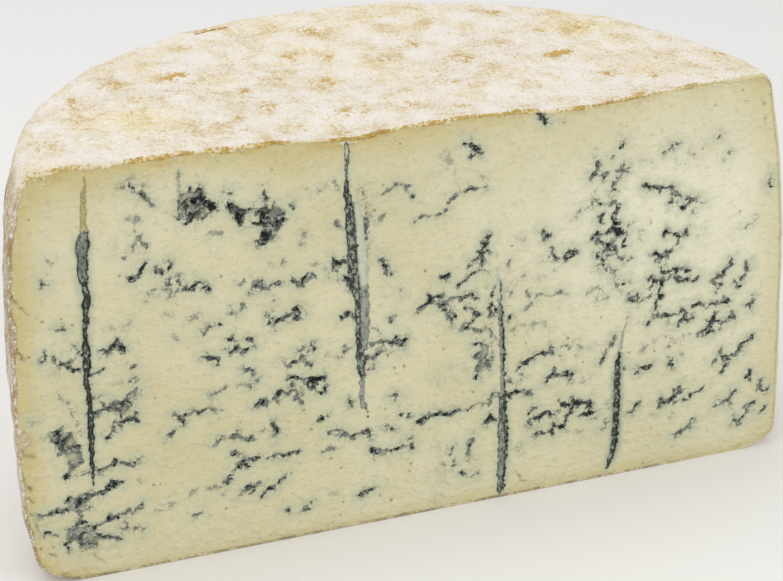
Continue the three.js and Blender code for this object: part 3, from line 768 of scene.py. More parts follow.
    (0.4, 0.9, 23.5, 68.5, 23.3, 67),
    (0.45, 0.7, 40.5, 77, 41, 78.5, 43, 79.4, 44.5, 79.8),
    (0.8, 0.9, 44.5, 79.8, 45.3, 80.8, 47.5, 80.3, 49, 79.7, 51.3, 80),
    (0.8, 1, 51.3, 80, 52.3, 78.8, 51.5, 77, 50.8, 76),
    (0.95, 1, 47.5, 76.5, 48.8, 76.9, 47.8, 75.3),
    (0.95, 1.3, 51, 76.3, 51.5, 74.5, 52.7, 74.5),
    (0.95, 1.1, 52.2, 74, 51, 73, 50, 72, 48, 71.8, 47, 72.2, 45.8, 70.8),
    (1, 1.9, 51.5, 72.4, 52.3, 71.6, 53.4, 71.4),
    (1, 1.2, 51.5, 71.5, 51.3, 69, 50, 68.5, 49.5, 67.3),
    (0.85, 1, 46.8, 70.3, 47.6, 69.5, 48.4, 68.6),
    (0.9, 1.2, 49.2, 68.7, 50.3, 67, 50.5, 66),
    (0.85, 1.2, 51.3, 67.6, 52.5, 66.5, 53, 65, 54.3, 64),
    (0.4, 1.8, 51.3, 74.5, 52, 71, 50.6, 68.5),
    (0.9, 0.8, 55.5, 73.5, 55.4, 72, 54.6, 70.5, 54.3, 69, 54.8, 67.5),
    (0.95, 1, 46.5, 66.6, 47.4, 66),
    (1, 1.1, 48.8, 65, 48.4, 63.8, 49, 62.5, 49.4, 61.7),
    (0.95, 0.8, 48.2, 63.8, 47.3, 63.2),
    (0.8, 0.8, 50.7, 61.8, 51.1, 61.7),
    (0.6, 0.8, 56.5, 64, 56.8, 63.9),
    (1, 0.9, 52.2, 61.2, 52.3, 59.5, 52.4, 58),
    (0.5, 0.5, 52.5, 57, 53.5, 55.5, 54, 54),
    (1, 0.9, 54.6, 56.8, 55.4, 57.6, 56, 57),
    (0.35, 1.1, 44.5, 56.3, 47, 57, 48.5, 56.5),
    (0.3, 1.1, 58.5, 72, 59, 68),
    (1, 1.1, 23.8, 52.5, 24.1, 52.5),
    (0.28, 1.5, 24.5, 48.8, 26, 50, 28, 49.2, 30, 49.3, 31.5, 50, 33, 50, 33.2, 48.5),
    (0.35, 1, 28.5, 54.8, 30, 55.3),
    (0.45, 1, 47.8, 53.7, 49, 54.3, 50.6, 54),
    (0.85, 1.5, 27, 39.2, 28, 38.8, 29.5, 40, 31, 40.8, 33, 40.8, 35, 40.7),
    (0.8, 1, 35, 40.7, 35, 42.2),
    (0.4, 0.8, 25.8, 37.5, 27, 39.3),
    (0.4, 0.7, 36, 40, 38, 38.8),
    (0.7, 1, 27.5, 35.8, 26.3, 34.3, 25.3, 33.4, 24, 34, 22.8, 34.8),
    (0.9, 1.3, 34.2, 32.5, 35, 33.8, 36, 34, 37.5, 33.3, 39, 33.7, 41.3, 33),
    (0.8, 0.8, 36, 35.8, 35.8, 34.5),
    (0.8, 0.8, 40.8, 32.4, 41.2, 31.3),
    (0.95, 1.2, 22.5, 31, 24, 31, 25.3, 31.2, 26.3, 30.5),
    (0.95, 1.4, 27.8, 30.3, 28.8, 30, 29.7, 29.4),
    (0.45, 0.8, 38.3, 41.8, 39.5, 41.3, 41, 42.2, 42, 42.3, 43.3, 40.7, 45, 40.3, 46.5, 40),
    (0.75, 1.1, 49, 35.3, 50, 36.2),
    (0.55, 0.6, 50, 36.5, 50.7, 38.7, 52, 40),
    (1, 1, 52.2, 40.2, 52.5, 41, 52.8, 42.2),
    (0.35, 0.8, 42.5, 30.3, 44.3, 30.8, 45.8, 31, 46.2, 32),
    (0.75, 1, 29, 24, 30.3, 24.6, 31, 25.3),
    (0.95, 1.4, 29.4, 20.4, 29.6, 21.3, 31, 21.5, 32.5, 22.3, 33.5, 23.3, 34.5, 23, 35.3, 22),
    (0.5, 0.9, 37.5, 21.5, 37.7, 23, 38.7, 23.2),
    (0.95, 1.6, 38.6, 24.7, 40, 24.3, 41.5, 24, 43, 24, 44, 24.3, 46, 23.8),
    (0.9, 1, 46, 23.8, 47.3, 23.3),
    (0.9, 0.9, 38, 26, 38.7, 24.8),
    (0.95, 1.2, 41.8, 25.6, 42, 23, 41, 22.3, 40.2, 21.3, 39.8, 19.5),
    (0.9, 1.2, 42.3, 22.8, 43.4, 23),
    (0.9, 1.1, 46, 24, 46.2, 22.5, 46.3, 21),
    (1, 1.7, 45.2, 20.4, 46.4, 20, 47.7, 19.9),
    (0.9, 0.8, 44.3, 20.3, 45.2, 20.4),
    (1, 1.5, 31.4, 16.7, 32, 17.8),
    (0.85, 1, 32, 17, 34, 17, 35.3, 17.3, 36.2, 18, 36.5, 19.3),
    (0.8, 0.9, 35.8, 16, 36, 17.3),
    (0.9, 1, 36.5, 18.3, 38, 18),
    (1, 1.6, 38.5, 17.8, 39.5, 17.9),
    (0.9, 0.9, 39.5, 18, 39.8, 19.5),
    (0.3, 1.1, 42.8, 15.6, 44.5, 15.2, 45.5, 16.2),
    (0.7, 0.9, 49.8, 14.8, 50.8, 15.3, 51.2, 15, 51.3, 17),
    (0.5, 1, 50, 22, 51.5, 22.3, 52.3, 21.5),
    (0.8, 0.8, 26.8, 14.4, 26.9, 13.8),
    # right of the tall cluster
    (0.9, 1.2, 59.5, 83.5, 60.5, 82.4, 63, 82.2, 66, 81.7, 67.8, 80.8, 67.5, 79.7, 69.3, 79.1),
    (0.8, 1, 64.5, 91.7, 65.8, 92, 66.3, 93.2),
    (0.7, 0.9, 67.8, 93.2, 68.2, 93.2),
    (0.25, 1.9, 68.3, 88.8, 68.2, 88),
    (0.28, 1.6, 70.8, 90.3, 73, 90),
    (0.35, 0.7, 76.2, 92.3, 76.6, 92.2),
    (0.65, 0.9, 78.8, 93.5, 79.2, 93.6),
    (0.65, 0.9, 82.2, 88.9, 82.4, 88.6),
    (0.28, 1.2, 81.5, 87.8, 81.2, 87.2),
    (0.7, 0.9, 67, 79.5, 66.7, 78, 67.3, 77.3),
    (0.85, 0.9, 68.8, 77, 69.8, 75.8, 71.3, 76, 72, 77.5, 73.5, 77.7, 74.2, 77.8),
    (1, 1.1, 71.6, 78.2, 72.5, 77.4),
    (0.5, 0.6, 73.3, 73.7, 73.2, 74.6, 73.8, 75.8, 75.5, 76.2, 76.6, 76),
    (0.95, 1.2, 65.3, 69, 66.3, 69.8, 67.2, 69, 68.5, 68.5, 70, 67.9, 71.3, 68.2, 71.7, 69.3),
    (0.6, 0.8, 75.2, 67, 75.5, 68.2),
    (0.8, 1, 62.5, 63.8, 63.5, 64.3, 64.5, 62.8, 65, 61.5),
    (0.8, 1.1, 63.5, 62, 65, 62.8, 66.3, 63, 66, 64),
    (0.6, 0.9, 66.5, 63, 68, 64.3, 69, 65.5, 69.5, 66.7),
    (0.95, 1.2, 65.3, 59.7, 65.6, 58.3, 67.5, 58.2, 69, 58.5, 71, 58.5, 72.5, 57.8),
    (1, 1.2, 61.8, 57, 62.8, 57.3, 63.2, 56, 62, 54.8),
    (0.9, 1, 63.2, 56.2, 65.8, 56.4, 67.5, 56.5),
    (0.95, 1.2, 69, 57.8, 69.5, 56.3, 70.5, 55, 72.3, 54.7, 72.9, 55.2),
    (1, 0.9, 74.8, 54.6, 75.8, 55.2),
    (0.95, 1.1, 79.7, 53.8, 80.8, 53, 81.8, 54, 83, 55.5, 84, 56.8, 84.9, 57.8),
    (1, 1.5, 84.8, 57.6, 85, 58.3),
    (0.9, 0.9, 81, 53, 82.3, 52, 82, 51),
    (0.9, 0.8, 86.3, 52.3, 87.6, 51.5, 87.7, 50.5),
    (0.9, 0.8, 87.7, 51.8, 88.7, 53.3, 89.8, 53.8, 89.8, 56, 90, 57.3),
    (0.4, 0.9, 86.5, 67, 88.5, 67, 90, 68, 91, 69.3),
    (0.95, 1, 56.5, 54.2, 56.7, 52.5, 57, 51.8, 58.3, 52, 58.8, 53),
    (0.4, 0.7, 56.3, 46.9, 56.5, 46.6),
    (0.5, 0.9, 59.3, 50.2, 60.8, 51.5, 62.2, 52, 63.3, 53.5, 64.3, 54),
    (0.85, 1, 65.5, 55.8, 64.8, 53.5, 64.8, 51, 64, 49.8, 64.4, 48.6),
    (0.8, 0.9, 64, 48, 64.2, 46.5),
    (0.9, 1, 62, 44.5, 63.2, 45.2),
    (0.35, 0.8, 59.8, 45.8, 61, 46.5),
    (0.25, 1.6, 60.5, 36, 61.5, 37.5, 63, 38, 65, 39),
    (0.9, 0.9, 56.2, 32.4, 56.4, 32.2),
    (0.9, 0.8, 58.7, 30.4, 59.9, 30.3),
    (0.95, 1.2, 60.3, 31.7, 61.5, 31, 62.5, 31.3, 63.5, 31.5, 63.8, 32.4),
    (0.9, 1.1, 65, 46.3, 66.5, 46, 68, 45.5, 69.5, 45.3, 70.8, 45.6, 71.7, 46.7, 72.3, 46, 72.8, 44.8),
    (0.6, 0.9, 72.8, 44.8, 74, 44.5),
    (0.5, 0.8, 67.8, 45.3, 68, 43.5, 67.8, 42.3),
    (1, 1.3, 70.7, 42.4, 71.5, 43.5, 72.8, 43.8),
    (0.8, 0.9, 74, 43, 75, 43.7, 74.8, 44.3),
    (0.95, 1.3, 75.2, 47.3, 76.3, 47.6, 77.3, 47),
    (0.85, 1, 77.3, 47, 78.5, 46.5, 80, 46.7, 82, 46.7, 83.5, 46.8),
    (1, 1.2, 83.8, 47.4, 84.7, 46.6, 85.2, 46.1),
    (1, 0.9, 90.8, 45, 91.7, 45.1, 91.8, 46.5),
    (1, 0.9, 91.8, 45.5, 91.8, 43.2),
    (0.95, 1.4, 81.7, 44, 81.3, 42.5, 80.8, 41, 80.3, 39.5, 80.8, 38.7),
    (0.6, 0.8, 79, 42.5, 79.4, 41.9),
    (1, 1.3, 80, 40.5, 78.7, 39.3, 77.3, 38.6, 78.8, 38.1, 80, 38.8),
    (0.9, 1.2, 81.3, 41.3, 82.8, 40.3, 84, 40.3, 85.3, 41.3, 86.3, 42, 86.5, 43.5),
    (0.9, 0.9, 86.3, 42, 87.4, 41),
    (0.3, 1.2, 66, 39.5, 69, 38.5, 71, 38, 73, 38.5, 75.5, 39),
    (0.4, 0.9, 68.5, 36.3, 70, 37, 71.5, 36.5),
    (1, 1.6, 92.3, 34.3, 92.6, 34.4),
    (0.9, 1.2, 92.5, 34.3, 91.3, 33.5, 90.3, 33, 90, 31.8, 89, 31, 88.3, 29.8),
    (0.85, 1, 89, 30.5, 87.5, 30.3, 86.5, 29.5, 85.8, 28.3, 85.5, 27.5, 84.5, 26),
    (0.85, 1, 84, 32.5, 83.9, 31, 85, 29.5, 86, 29.5),
    (0.7, 0.9, 82.3, 30, 81.4, 29.1, 83, 29.8),
    (0.9, 1, 68.7, 30.6, 69.3, 31, 69.5, 32.5),
    (0.9, 1, 69.3, 30.8, 70.4, 30.8, 69.8, 29),
    (0.35, 0.9, 70.2, 33.8, 71.5, 34, 72.3, 33),
    (0.85, 1, 57.2, 18.3, 58.3, 18, 59, 18.3, 59.8, 19.5),
    (0.95, 1.4, 60.1, 20.2, 60.5, 20.5),
    (0.35, 0.7, 61, 21.2, 61.5, 22.2),
    (0.9, 1.2, 65.7, 17.5, 66.7, 18.8, 67, 20, 67.3, 21),
    (0.85, 1.5, 67, 19.5, 68.5, 19.3, 70, 20, 71.3, 20.8, 72.2, 21.5, 73.3, 21.6),
    (0.8, 1, 72.2, 24.1, 72, 22.5, 70.7, 22.7),
    (0.8, 1.1, 71, 19.4, 71, 18.8),
    (0.85, 1, 73.5, 19.3, 75, 19.2, 76, 20.3, 77, 21, 78.3, 21, 79.3, 22),
    (0.3, 0.8, 73.5, 22.5, 75.3, 23.3, 76.3, 24),
    (0.3, 1, 69.7, 14.7, 70.7, 15.5),
    (0.75, 1, 71.8, 8.4, 72.7, 9.3, 73.3, 10, 73.5, 9),
    (0.9, 1.2, 74.8, 9.8, 75.8, 10.1, 76.3, 11),
    (0.8, 0.8, 76.3, 11, 77.3, 12.3),
    (0.8, 1, 83, 15, 84.2, 15.8, 84.5, 17.2),
    (0.85, 1.1, 84.5, 16, 85.5, 15.4, 86.5, 16, 87.5, 17.3),
    (1, 1.3, 88.4, 18.4, 88.7, 19.2),
    (0.5, 0.8, 87.6, 15, 88.5, 14, 88.4, 15.2),
    (0.95, 0.9, 92.8, 24.7, 92.6, 23.2, 92.9, 22),
    (0.9, 0.9, 92.2, 22.8, 92.4, 22.6),
    (0.95, 0.9, 96.8, 21, 96.5, 19.7, 97, 18.2, 98, 17.3, 99.3, 17.6, 99.8, 18.2),
    (0.85, 0.9, 88.9, 8.8, 89.7, 9.8, 89.8, 11),
    (0.9, 1, 90, 8.6, 91, 8.8, 91.5, 10),
    (0.9, 1.1, 91.3, 10.3, 92.3, 11.3, 93.8, 11.5),
    (0.95, 1.1, 93, 11.7, 93, 13.2, 94, 14, 95, 14),
    (0.85, 1, 97, 10.7, 97.5, 11.8, 98.3, 12.6),
    (1, 1, 94.9, 80.6, 94.4, 79.4, 94.7, 77.9),
]

# brown cracks that run in from the rind
rindCracks = [
    (1, 0.8, -98.3, 82, -97.3, 80.2, -96.5, 78), (1, 0.9, -98.7, 69, -97.5, 66, -96, 63),
    (0.6, 0.5, -97.3, 80, -95, 76, -93.5, 74),
    (0.9, 0.9, -100.6, 40.8, -99.5, 38.6, -98.4, 37.4, -96.6, 37.4),
    (0.8, 0.9, -99.8, 31.5, -99.3, 29.3, -98.3, 28), (0.7, 0.6, -99, 26, -98.5, 24.6),
    (0.7, 0.5, -98.8, 22, -97.5, 14), (0.7, 0.6, -96, 9.5, -94, 8), (0.5, 0.4, -85, 6.5, -83, 3.5),
    (0.35, 0.6, 90.8, 102, 91, 100.5), (0.35, 0.6, 91.6, 97.4, 91.6, 95.8), (0.4, 0.5, 55, 108, 58, 107),
    (0.6, 0.5, 26, 6, 27.5, 4, 29, 3), (0.5, 0.4, 26.6, 5.5, 25.8, 7),
]

# needle channels: tone inside (below 0 tan, 0 pale, from 0.2 up ever more mould), tone of the edges, then
# x, z and width of each point from the top down
needleTracks = [
    (-0.15, 0.3, [
        (-77.6, 107.5, 0.4), (-78, 104, 0.6), (-78.5, 102, 1.1), (-79, 97.6, 1.4), (-79.1, 95.2, 1.5),
        (-79.2, 93, 2),
    ]),
    (0.35, 0.9, [
        (-79.1, 93, 1.3), (-79.6, 91.3, 2.6), (-80.1, 88.4, 3), (-80.2, 86.4, 2.2), (-80.4, 84, 2.5),
        (-80.6, 82.2, 2.4), (-80.5, 79.9, 1.9),
    ]),
    (0.7, 1, [
        (-80.5, 79.9, 1.9), (-80.3, 77.8, 1.6), (-80.2, 75.8, 1.9), (-80.9, 72.1, 1.4),
        (-81.3, 68.2, 1.3), (-81.6, 64.4, 1.6), (-81.8, 59.9, 1.9), (-82, 57.3, 1.6), (-82.4, 54.4, 1.3),
        (-82.2, 51.2, 1.2), (-82.2, 47.1, 1.3), (-82.6, 41.7, 1.6), (-82.9, 37.6, 1.5),
        (-83.2, 33.4, 1.1), (-83.3, 29.3, 0.8), (-83.5, 26.2, 0.5),
    ]),
    (0, 0.85, [
        (-17.3, 105.1, 0.9), (-17.3, 103.2, 1.5), (-17.3, 101.2, 1.3), (-17.5, 99.3, 0.8),
        (-17.5, 96.7, 0.7),
    ]),
    (0.46, 0.85, [
        (-17.5, 96.7, 0.7), (-17.7, 94.5, 1.2), (-17.4, 91.9, 1.7), (-17, 87.3, 2.2), (-16.7, 82, 2.7),
        (-16.6, 76.8, 2.9), (-16.4, 71.4, 2.7), (-16, 67.3, 2.1), (-15.7, 64.6, 1.7), (-15.7, 60.5, 1.5),
        (-15.8, 56.4, 1.5), (-15.6, 52.2, 1.8), (-15.4, 48, 2.5), (-15.3, 45.2, 2.1), (-15.1, 42.9, 1.1),
    ]),
    (0.26, 0.15, [
        (-15.1, 42.9, 1.2), (-15.3, 39.5, 1.6), (-15.5, 36.7, 1.5), (-15.3, 34.4, 1),
    ]),
    (0, 0.1, [
        (-15.3, 92.9, 0.5), (-15.1, 89.5, 1.4), (-14.5, 82.9, 2.3), (-14.2, 76.3, 2.4), (-14, 71, 2.3),
        (-13.9, 68, 2),
    ]),
    (0.22, 0.2, [
        (-13.9, 68, 2.1), (-13.9, 64.3, 2.2), (-14, 58.8, 2.2), (-14.1, 54.7, 2), (-14.4, 51.1, 1.4),
    ]),
    (0.5, 0.65, [
        (-14.1, 94.2, 0.1), (-13.5, 91.1, 0.2), (-13.2, 87.4, 0.3), (-13, 82.2, 0.2), (-12.9, 77.5, 0.3),
        (-12.9, 72.7, 0.2), (-13, 68.2, 0.1),
    ]),
    (0.5, 0.5, [
        (-14.3, 37.9, 0.1), (-14.3, 33.6, 0.3), (-14, 29.2, 0.2), (-13.5, 24.7, 0.4),
    ]),
    (0, 0.12, [
        (19.6, 74.4, 0.2), (20.1, 70.5, 0.5), (20.4, 66.6, 0.8), (20.5, 62.8, 1.1), (20.8, 59, 1.1),
    ]),
    (0.22, 0.35, [
        (21, 60, 1.1), (21.4, 51.1, 1.1), (21.7, 44, 1.2), (22, 38.1, 1.3), (22.1, 33.7, 1.3),
        (21.8, 30.9, 1.5),
    ]),
    (0.36, 0.75, [
        (21.8, 30.9, 1.4), (22, 26.4, 1.9), (22, 20.4, 2.3), (22.1, 14.3, 2.4), (22, 8.2, 2.2),
        (21.5, 3.7, 1.7), (21.5, 1.2, 1),
    ]),
    (0.9, 0.9, [
        (21.1, 63.7, 0.3), (21.5, 59.2, 0.4), (21.9, 52.5, 0.6), (22.2, 45.3, 0.6), (22.4, 40.4, 0.6),
        (22.6, 33.6, 0.5), (23.1, 27.6, 0.4), (23.4, 21.6, 0.4), (23.5, 17, 0.4), (23.2, 11, 0.4),
        (22.8, 4.9, 0.4), (22.3, 1.3, 0.4),
    ]),
    (0, 0.4, [
        (56.1, 45.8, 0.5), (55.6, 43.5, 0.8), (54.9, 40.5, 1), (54.3, 37.5, 1),
    ]),
    (0.52, 1, [
        (54.5, 38.8, 0.3), (54.2, 34.5, 1.3), (54, 29.1, 1.8), (54.2, 23, 1.9), (54.2, 16.9, 1.9),
        (54.2, 10.8, 1.9), (53.7, 7.1, 1.8), (53, 4.1, 1.6), (52.2, 2.4, 0.9),
    ]),
]

# paste: the cut face is a fine grid, pressed in where the mould and the needles opened it
paste = {
    "columns": 400,
    "rows": 216,
    "inset": 0.4,
    "skirt": 1.5,
    "coreBack": 2.5,
    "coreGap": 0.3,  # between the hidden core and the rind's inner shell
    # depths: an open crack, a pit and a crumb, and the width over which they fade to the border
    "crackDepth": 0.7,
    "pitDepth": 0.3,
    "crumbHeight": 0.16,
    "borderFade": 1.6,
    # waves that the knife left, broad and fine: depth, size
    "waves": [(0.22, 15), (0.1, 3.2)],
    # how far the warm tint reaches in from the top, the left, the right and the foot
    "warmReach": (13, 11, 12, 6),
    "channels": [2, 4, 12, 15],
    "channelReach": 14,
    # open cavities: x, z, half width, half height, depth
    "cavities": [
        (-54, 95.5, 5, 4.5, 2), (-43.6, 92, 4, 3, 1.6), (-37, 88.5, 3.5, 5, 1.9), (51.5, 73.5, 3, 4, 0.6),
        (-88, 38, 2.5, 4, 0.8), (-75, 46, 3.5, 3, 0.9), (-27.5, 44.7, 4, 2, 0.9), (48, 19.8, 3.5, 2.5, 0.9),
    ],
    # white smears next to the rind: x, z, half width, half height, strength
    "smears": [(-17.2, 105.6, 2.6, 0.8, 2.6), (-88, 106.5, 5, 1.3, 0.8), (-97.6, 41, 1.4, 3, 1.1)],
    # the map: the cut face above, the hidden core below
    "faceMap": (0.05, 0.996),
    "coreMap": (0.0, 0.04),
}


def markFields(marks, x, z):
    # how deep inside a mould mark each point lies, in millimetres, and how dark that mark is
    inside = np.full(len(x), -9.0)
    toneSum = np.zeros(len(x))
    weightSum = np.full(len(x), 1e-9)
    for tone, width, *path in marks:
        points = list(zip(path[0::2], path[1::2]))
        for (ax, az), (bx, bz) in zip(points, points[1:]):
            reach = width / 2 + 4
            near = np.flatnonzero((x > min(ax, bx) - reach) & (x < max(ax, bx) + reach)
                                  & (z > min(az, bz) - reach) & (z < max(az, bz) + reach))
            dx, dz = bx - ax, bz - az
            along = ((x[near] - ax) * dx + (z[near] - az) * dz) / max(dx * dx + dz * dz, 1e-6)
            along = np.clip(along, 0, 1)
            depth = width / 2 - np.hypot(x[near] - ax - along * dx, z[near] - az - along * dz)
            weight = np.exp(5 * depth)
            inside[near] = np.maximum(inside[near], depth)
            toneSum[near] += tone * weight
            weightSum[near] += weight
    return inside, np.clip(toneSum / weightSum, 0, 1)


def trackFields(x, z):
    # the same for the needle channels, with the tone inside, the tone of the edges and the half width
    inside = np.full(len(x), -9.0)
    tone, edge, half = (np.zeros(len(x)) for _ in range(3))
    for insideTone, edgeTone, points in needleTracks:
        px, pz, width = np.array(points[::-1]).T
        centre = np.interp(z, pz, px)
        wide = np.interp(z, pz, width) / 2
        pastEnd = np.maximum(np.maximum(pz[0] - z, z - pz[-1]), 0)
        depth = wide - np.hypot(x - centre, pastEnd)
        first = depth > inside
        inside = np.where(first, depth, inside)
        tone = np.where(first, insideTone, tone)
        edge = np.where(first, edgeTone, edge)
        half = np.where(first, wide, half)
    return inside, tone, edge, half


def makePaste():
    columns, rows, inset = paste["columns"], paste["rows"], paste["inset"]
    bpy.ops.object.select_all(action="DESELECT")
    bpy.ops.mesh.primitive_grid_add(x_subdivisions=columns, y_subdivisions=rows, size=2)
    face = bpy.context.object
    face.name = face.data.name = "paste"
    unit = readPlaces(face)
    across, up = unit[:, 0], (unit[:, 1] + 1) / 2

    # the face is as wide at each height as the wheel is, and dips under the hollows of the top
    height = wheel["height"]
    z = up * height
    wide = np.where(across < 0, halfWidthAt(z, -1), halfWidthAt(z, 1)) - inset
    x = across * wide
    z = inset + z * (1 - 2 * inset / height)
    z -= smoothStep(up * height, height - wheel["topRoundHigh"], height) * hollowAt(x, -wheel["cutOffset"])

    # columns of the grid run along the needle channels
    for index in paste["channels"]:
        px, pz, _ = np.array(needleTracks[index][2][::-1]).T
        column = round((px.mean() / wheel["radius"] + 1) / 2 * columns) / columns * 2 - 1
        shift = np.interp(z, pz, px) - column * wide
        x += shift * np.clip(1 - ((x - column * wide) / paste["channelReach"]) ** 2, 0, 1) ** 2

    wobbleX = 0.9 * noiseField(x, z, 2.1, 2.0) + 0.5 * noiseField(x, z, 1, 5.0)
    wobbleZ = 0.9 * noiseField(x, z, 2.1, 11.0) + 0.5 * noiseField(x, z, 1, 17.0)
    vein, tone = markFields(veinMarks, x + wobbleX, z + wobbleZ)
    vein += 0.5 * noiseField(x, z, 1.7, 53.0) - 0.02 - 0.07 * smoothStep(x, 20, 60)
    tone = np.clip(tone * (1 + 0.7 * noiseField(x, z, 2.4, 59.0)), 0, 1)
    crack, crackTone = markFields(rindCracks, x + 0.6 * wobbleX, z + 0.6 * wobbleZ)
    crackTone *= np.clip(0.75 + 1.1 * noiseField(x, z, 2.6, 61.0), 0, 1)
    track, trackTone, trackEdge, trackHalf = trackFields(x + 0.4 * wobbleX, z)
    track += 0.22 * noiseField(x, z, 1.4, 67.0)
    sides = np.minimum(halfWidthAt(z, -1) + x, halfWidthAt(z, 1) - x)
    top = height - hollowAt(x, -wheel["cutOffset"]) - z
    rim = np.minimum(np.minimum(sides, top), z)

    # how far each point is pressed in, and the small waves that the knife left
    opened = smoothStep(vein, -0.1, 0.45) * (0.25 + 0.5 * np.clip(vein, 0, 1.2)) * tone
    for cx, cz, rx, rz, depth in paste["cavities"]:
        bowl = np.clip(1 - ((x - cx) / rx) ** 2 - ((z - cz) / rz) ** 2, 0, 1)
        opened += depth * bowl * smoothStep(vein, -0.3, 0.6)
    intoTrack = np.clip(track, 0, trackHalf)
    groove = np.sqrt(np.clip(trackHalf**2 - (trackHalf - intoTrack) ** 2, 0, None))
    opened = np.maximum(opened, np.where(track > 0, groove * (0.45 + 0.5 * trackEdge), 0))
    opened = np.maximum(opened, paste["crackDepth"] * smoothStep(crack, -0.1, 0.35))
    (broadDepth, broadSize), (fineDepth, fineSize) = paste["waves"]
    waves = broadDepth * noiseField(x, z, broadSize, 23.0)
    waves = waves + fineDepth * noiseField(x * 0.45 - z * 0.12, z + 0.25 * x, fineSize, 29.0)
    crumbs = noiseField(x, z, 1.3, 31.0)
    pits = paste["pitDepth"] * smoothStep(crumbs, 0.3, 0.55)
    pits = pits - paste["crumbHeight"] * smoothStep(-crumbs, 0.36, 0.55)
    inward = waves + pits * smoothStep(-vein, -0.2, 0.5) + opened
    inward = 0.05 + inward * smoothStep(rim, inset, inset + paste["borderFade"])
    places = np.stack([x, inward - wheel["cutOffset"], z], axis=1)
    writePlaces(face, places * mm)

    uv = np.stack([inMap((across + 1) / 2, 0.004), np.interp(up, [0, 1], paste["faceMap"])], axis=1)
    writeUv(face, uv[cornerVertices(face)])
    for name, field in (("vein", vein), ("crack", crack), ("track", track)):
        floatAttribute(face, name, np.clip(field, -5, 5))
    for name, field in (
        ("veinTone", tone), ("crackTone", crackTone), ("trackTone", trackTone), ("trackEdge", trackEdge),
    ):
        floatAttribute(face, name, field)
    topReach, leftReach, rightReach, footReach = paste["warmReach"]
    warmTop = 1 - smoothStep(top + 2.5 * noiseField(x, z, 22, 41.0), 0, topReach)
    warmTop *= 0.85 - 0.5 * smoothStep(x, -10, 60) + 0.2 * smoothStep(x, 65, 90)
    warmLeft = 1 - smoothStep(halfWidthAt(z, -1) + x + 2 * noiseField(x, z, 18, 43.0), 0, leftReach)
    warmRight = 1 - smoothStep(halfWidthAt(z, 1) - x, 0, rightReach)
    warmFoot = 1 - smoothStep(z, 0, footReach)
    warm = 1 - (1 - warmTop) * (1 - warmLeft) * (1 - 0.5 * warmRight) * (1 - 0.6 * warmFoot)
    # painted shade: the face is darker and warmer towards the left, most of all low on the left; it shares
    # one attribute with the warm tint by the rind
    paintedShade = 0.16 * (1 - smoothStep(x, -40, 70))
    paintedShade += 0.16 * (1 - smoothStep(x, -70, 0)) * smoothStep(-z, -85, -25)
    warm = np.maximum(warm, paintedShade)
    floatAttribute(face, "warm", warm)
    # painted light: the right half of the face is paler, less so at the foot and just under the top
    paintedLight = smoothStep(x, 0, 75) * (0.05 + 0.95 * smoothStep(z, 12, 78))
    floatAttribute(face, "paintedLight", paintedLight * (1 - 0.8 * smoothStep(z, 80, 98)))
    stain = 1 - smoothStep(top + 2.2 * noiseField(x, z, 6, 47.0), 0.2, 3.6)
    stain = stain * (1 - 0.5 * smoothStep(x, -20, 70))
    lowLeft = 1 - smoothStep(halfWidthAt(z, -1) + x + 1.2 * noiseField(x, z, 3, 51.0), 0.3, 2.2)
    stain = np.maximum(stain, 0.9 * lowLeft * (1 - smoothStep(z, 30, 52)))
    floatAttribute(face, "stain", stain * (0.7 + 0.9 * noiseField(x, z, 13, 49.0)))
    leftness = smoothStep(-x, 85, 95)
    fray = (1 - smoothStep(rim, 0.6, 2.6)) * (0.3 + 0.7 * np.maximum(leftness, smoothStep(z, 95, 104)))
    for cx, cz, rx, rz, strength in paste["smears"]:
        fray = np.maximum(fray, strength * np.exp(-((x - cx) / rx) ** 2 - ((z - cz) / rz) ** 2))
    floatAttribute(face, "fray", fray)

    # the border turns back and joins the hidden core
    openEdges(face)
    bpy.ops.mesh.extrude_region_move(TRANSFORM_OT_translate={"value": (0, paste["skirt"] * mm, 0)})
    bpy.ops.object.mode_set(mode="OBJECT")
    coreInset, coreBack = rindSkin["thickness"] + paste["coreGap"], paste["coreBack"]
    core = openHalfWheel("pasteCore", *rindSkin["hiddenGrid"], coreInset, coreBack, [paste["coreMap"]] * 3)
    return closeOnto(face, core)


rindPiece = makeRind()
print("rind modelled")
pastePiece = makePaste()
print("paste modelled")

# from the wheel's own axis to its place in the model
for piece in (rindPiece, pastePiece):
    writePlaces(piece, readPlaces(piece) + np.array(axisPlace) * mm)
    pickOnly(piece)
    bpy.ops.object.shade_smooth()
    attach(piece, "root")
    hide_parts("cheese")


def newMaterial(name):
    material = bpy.data.materials.new(name)
    material.use_nodes = True
    material.node_tree.nodes.clear()
    return material


def addNode(tree, kind, settings, links, output=0):
    # adds a node, sets it up, fills or links its inputs, and gives back one of its outputs; kind is the
    # type without the ShaderNode that they all start with
    node = tree.nodes.new("ShaderNode" + kind)
    for key, value in settings.items():
        setattr(node, key, value)
    for key, value in links.items():
        if isinstance(value, bpy.types.NodeSocket):
            tree.links.new(value, node.inputs[key])
        else:
            node.inputs[key].default_value = value
    return node.outputs[output] if node.outputs else node


# settings that many nodes share
smooth = {"interpolation_type": "SMOOTHSTEP"}
paint = {"data_type": "RGBA"}
multiply = {"operation": "MULTIPLY"}
scaleAdd = {"operation": "MULTIPLY_ADD"}

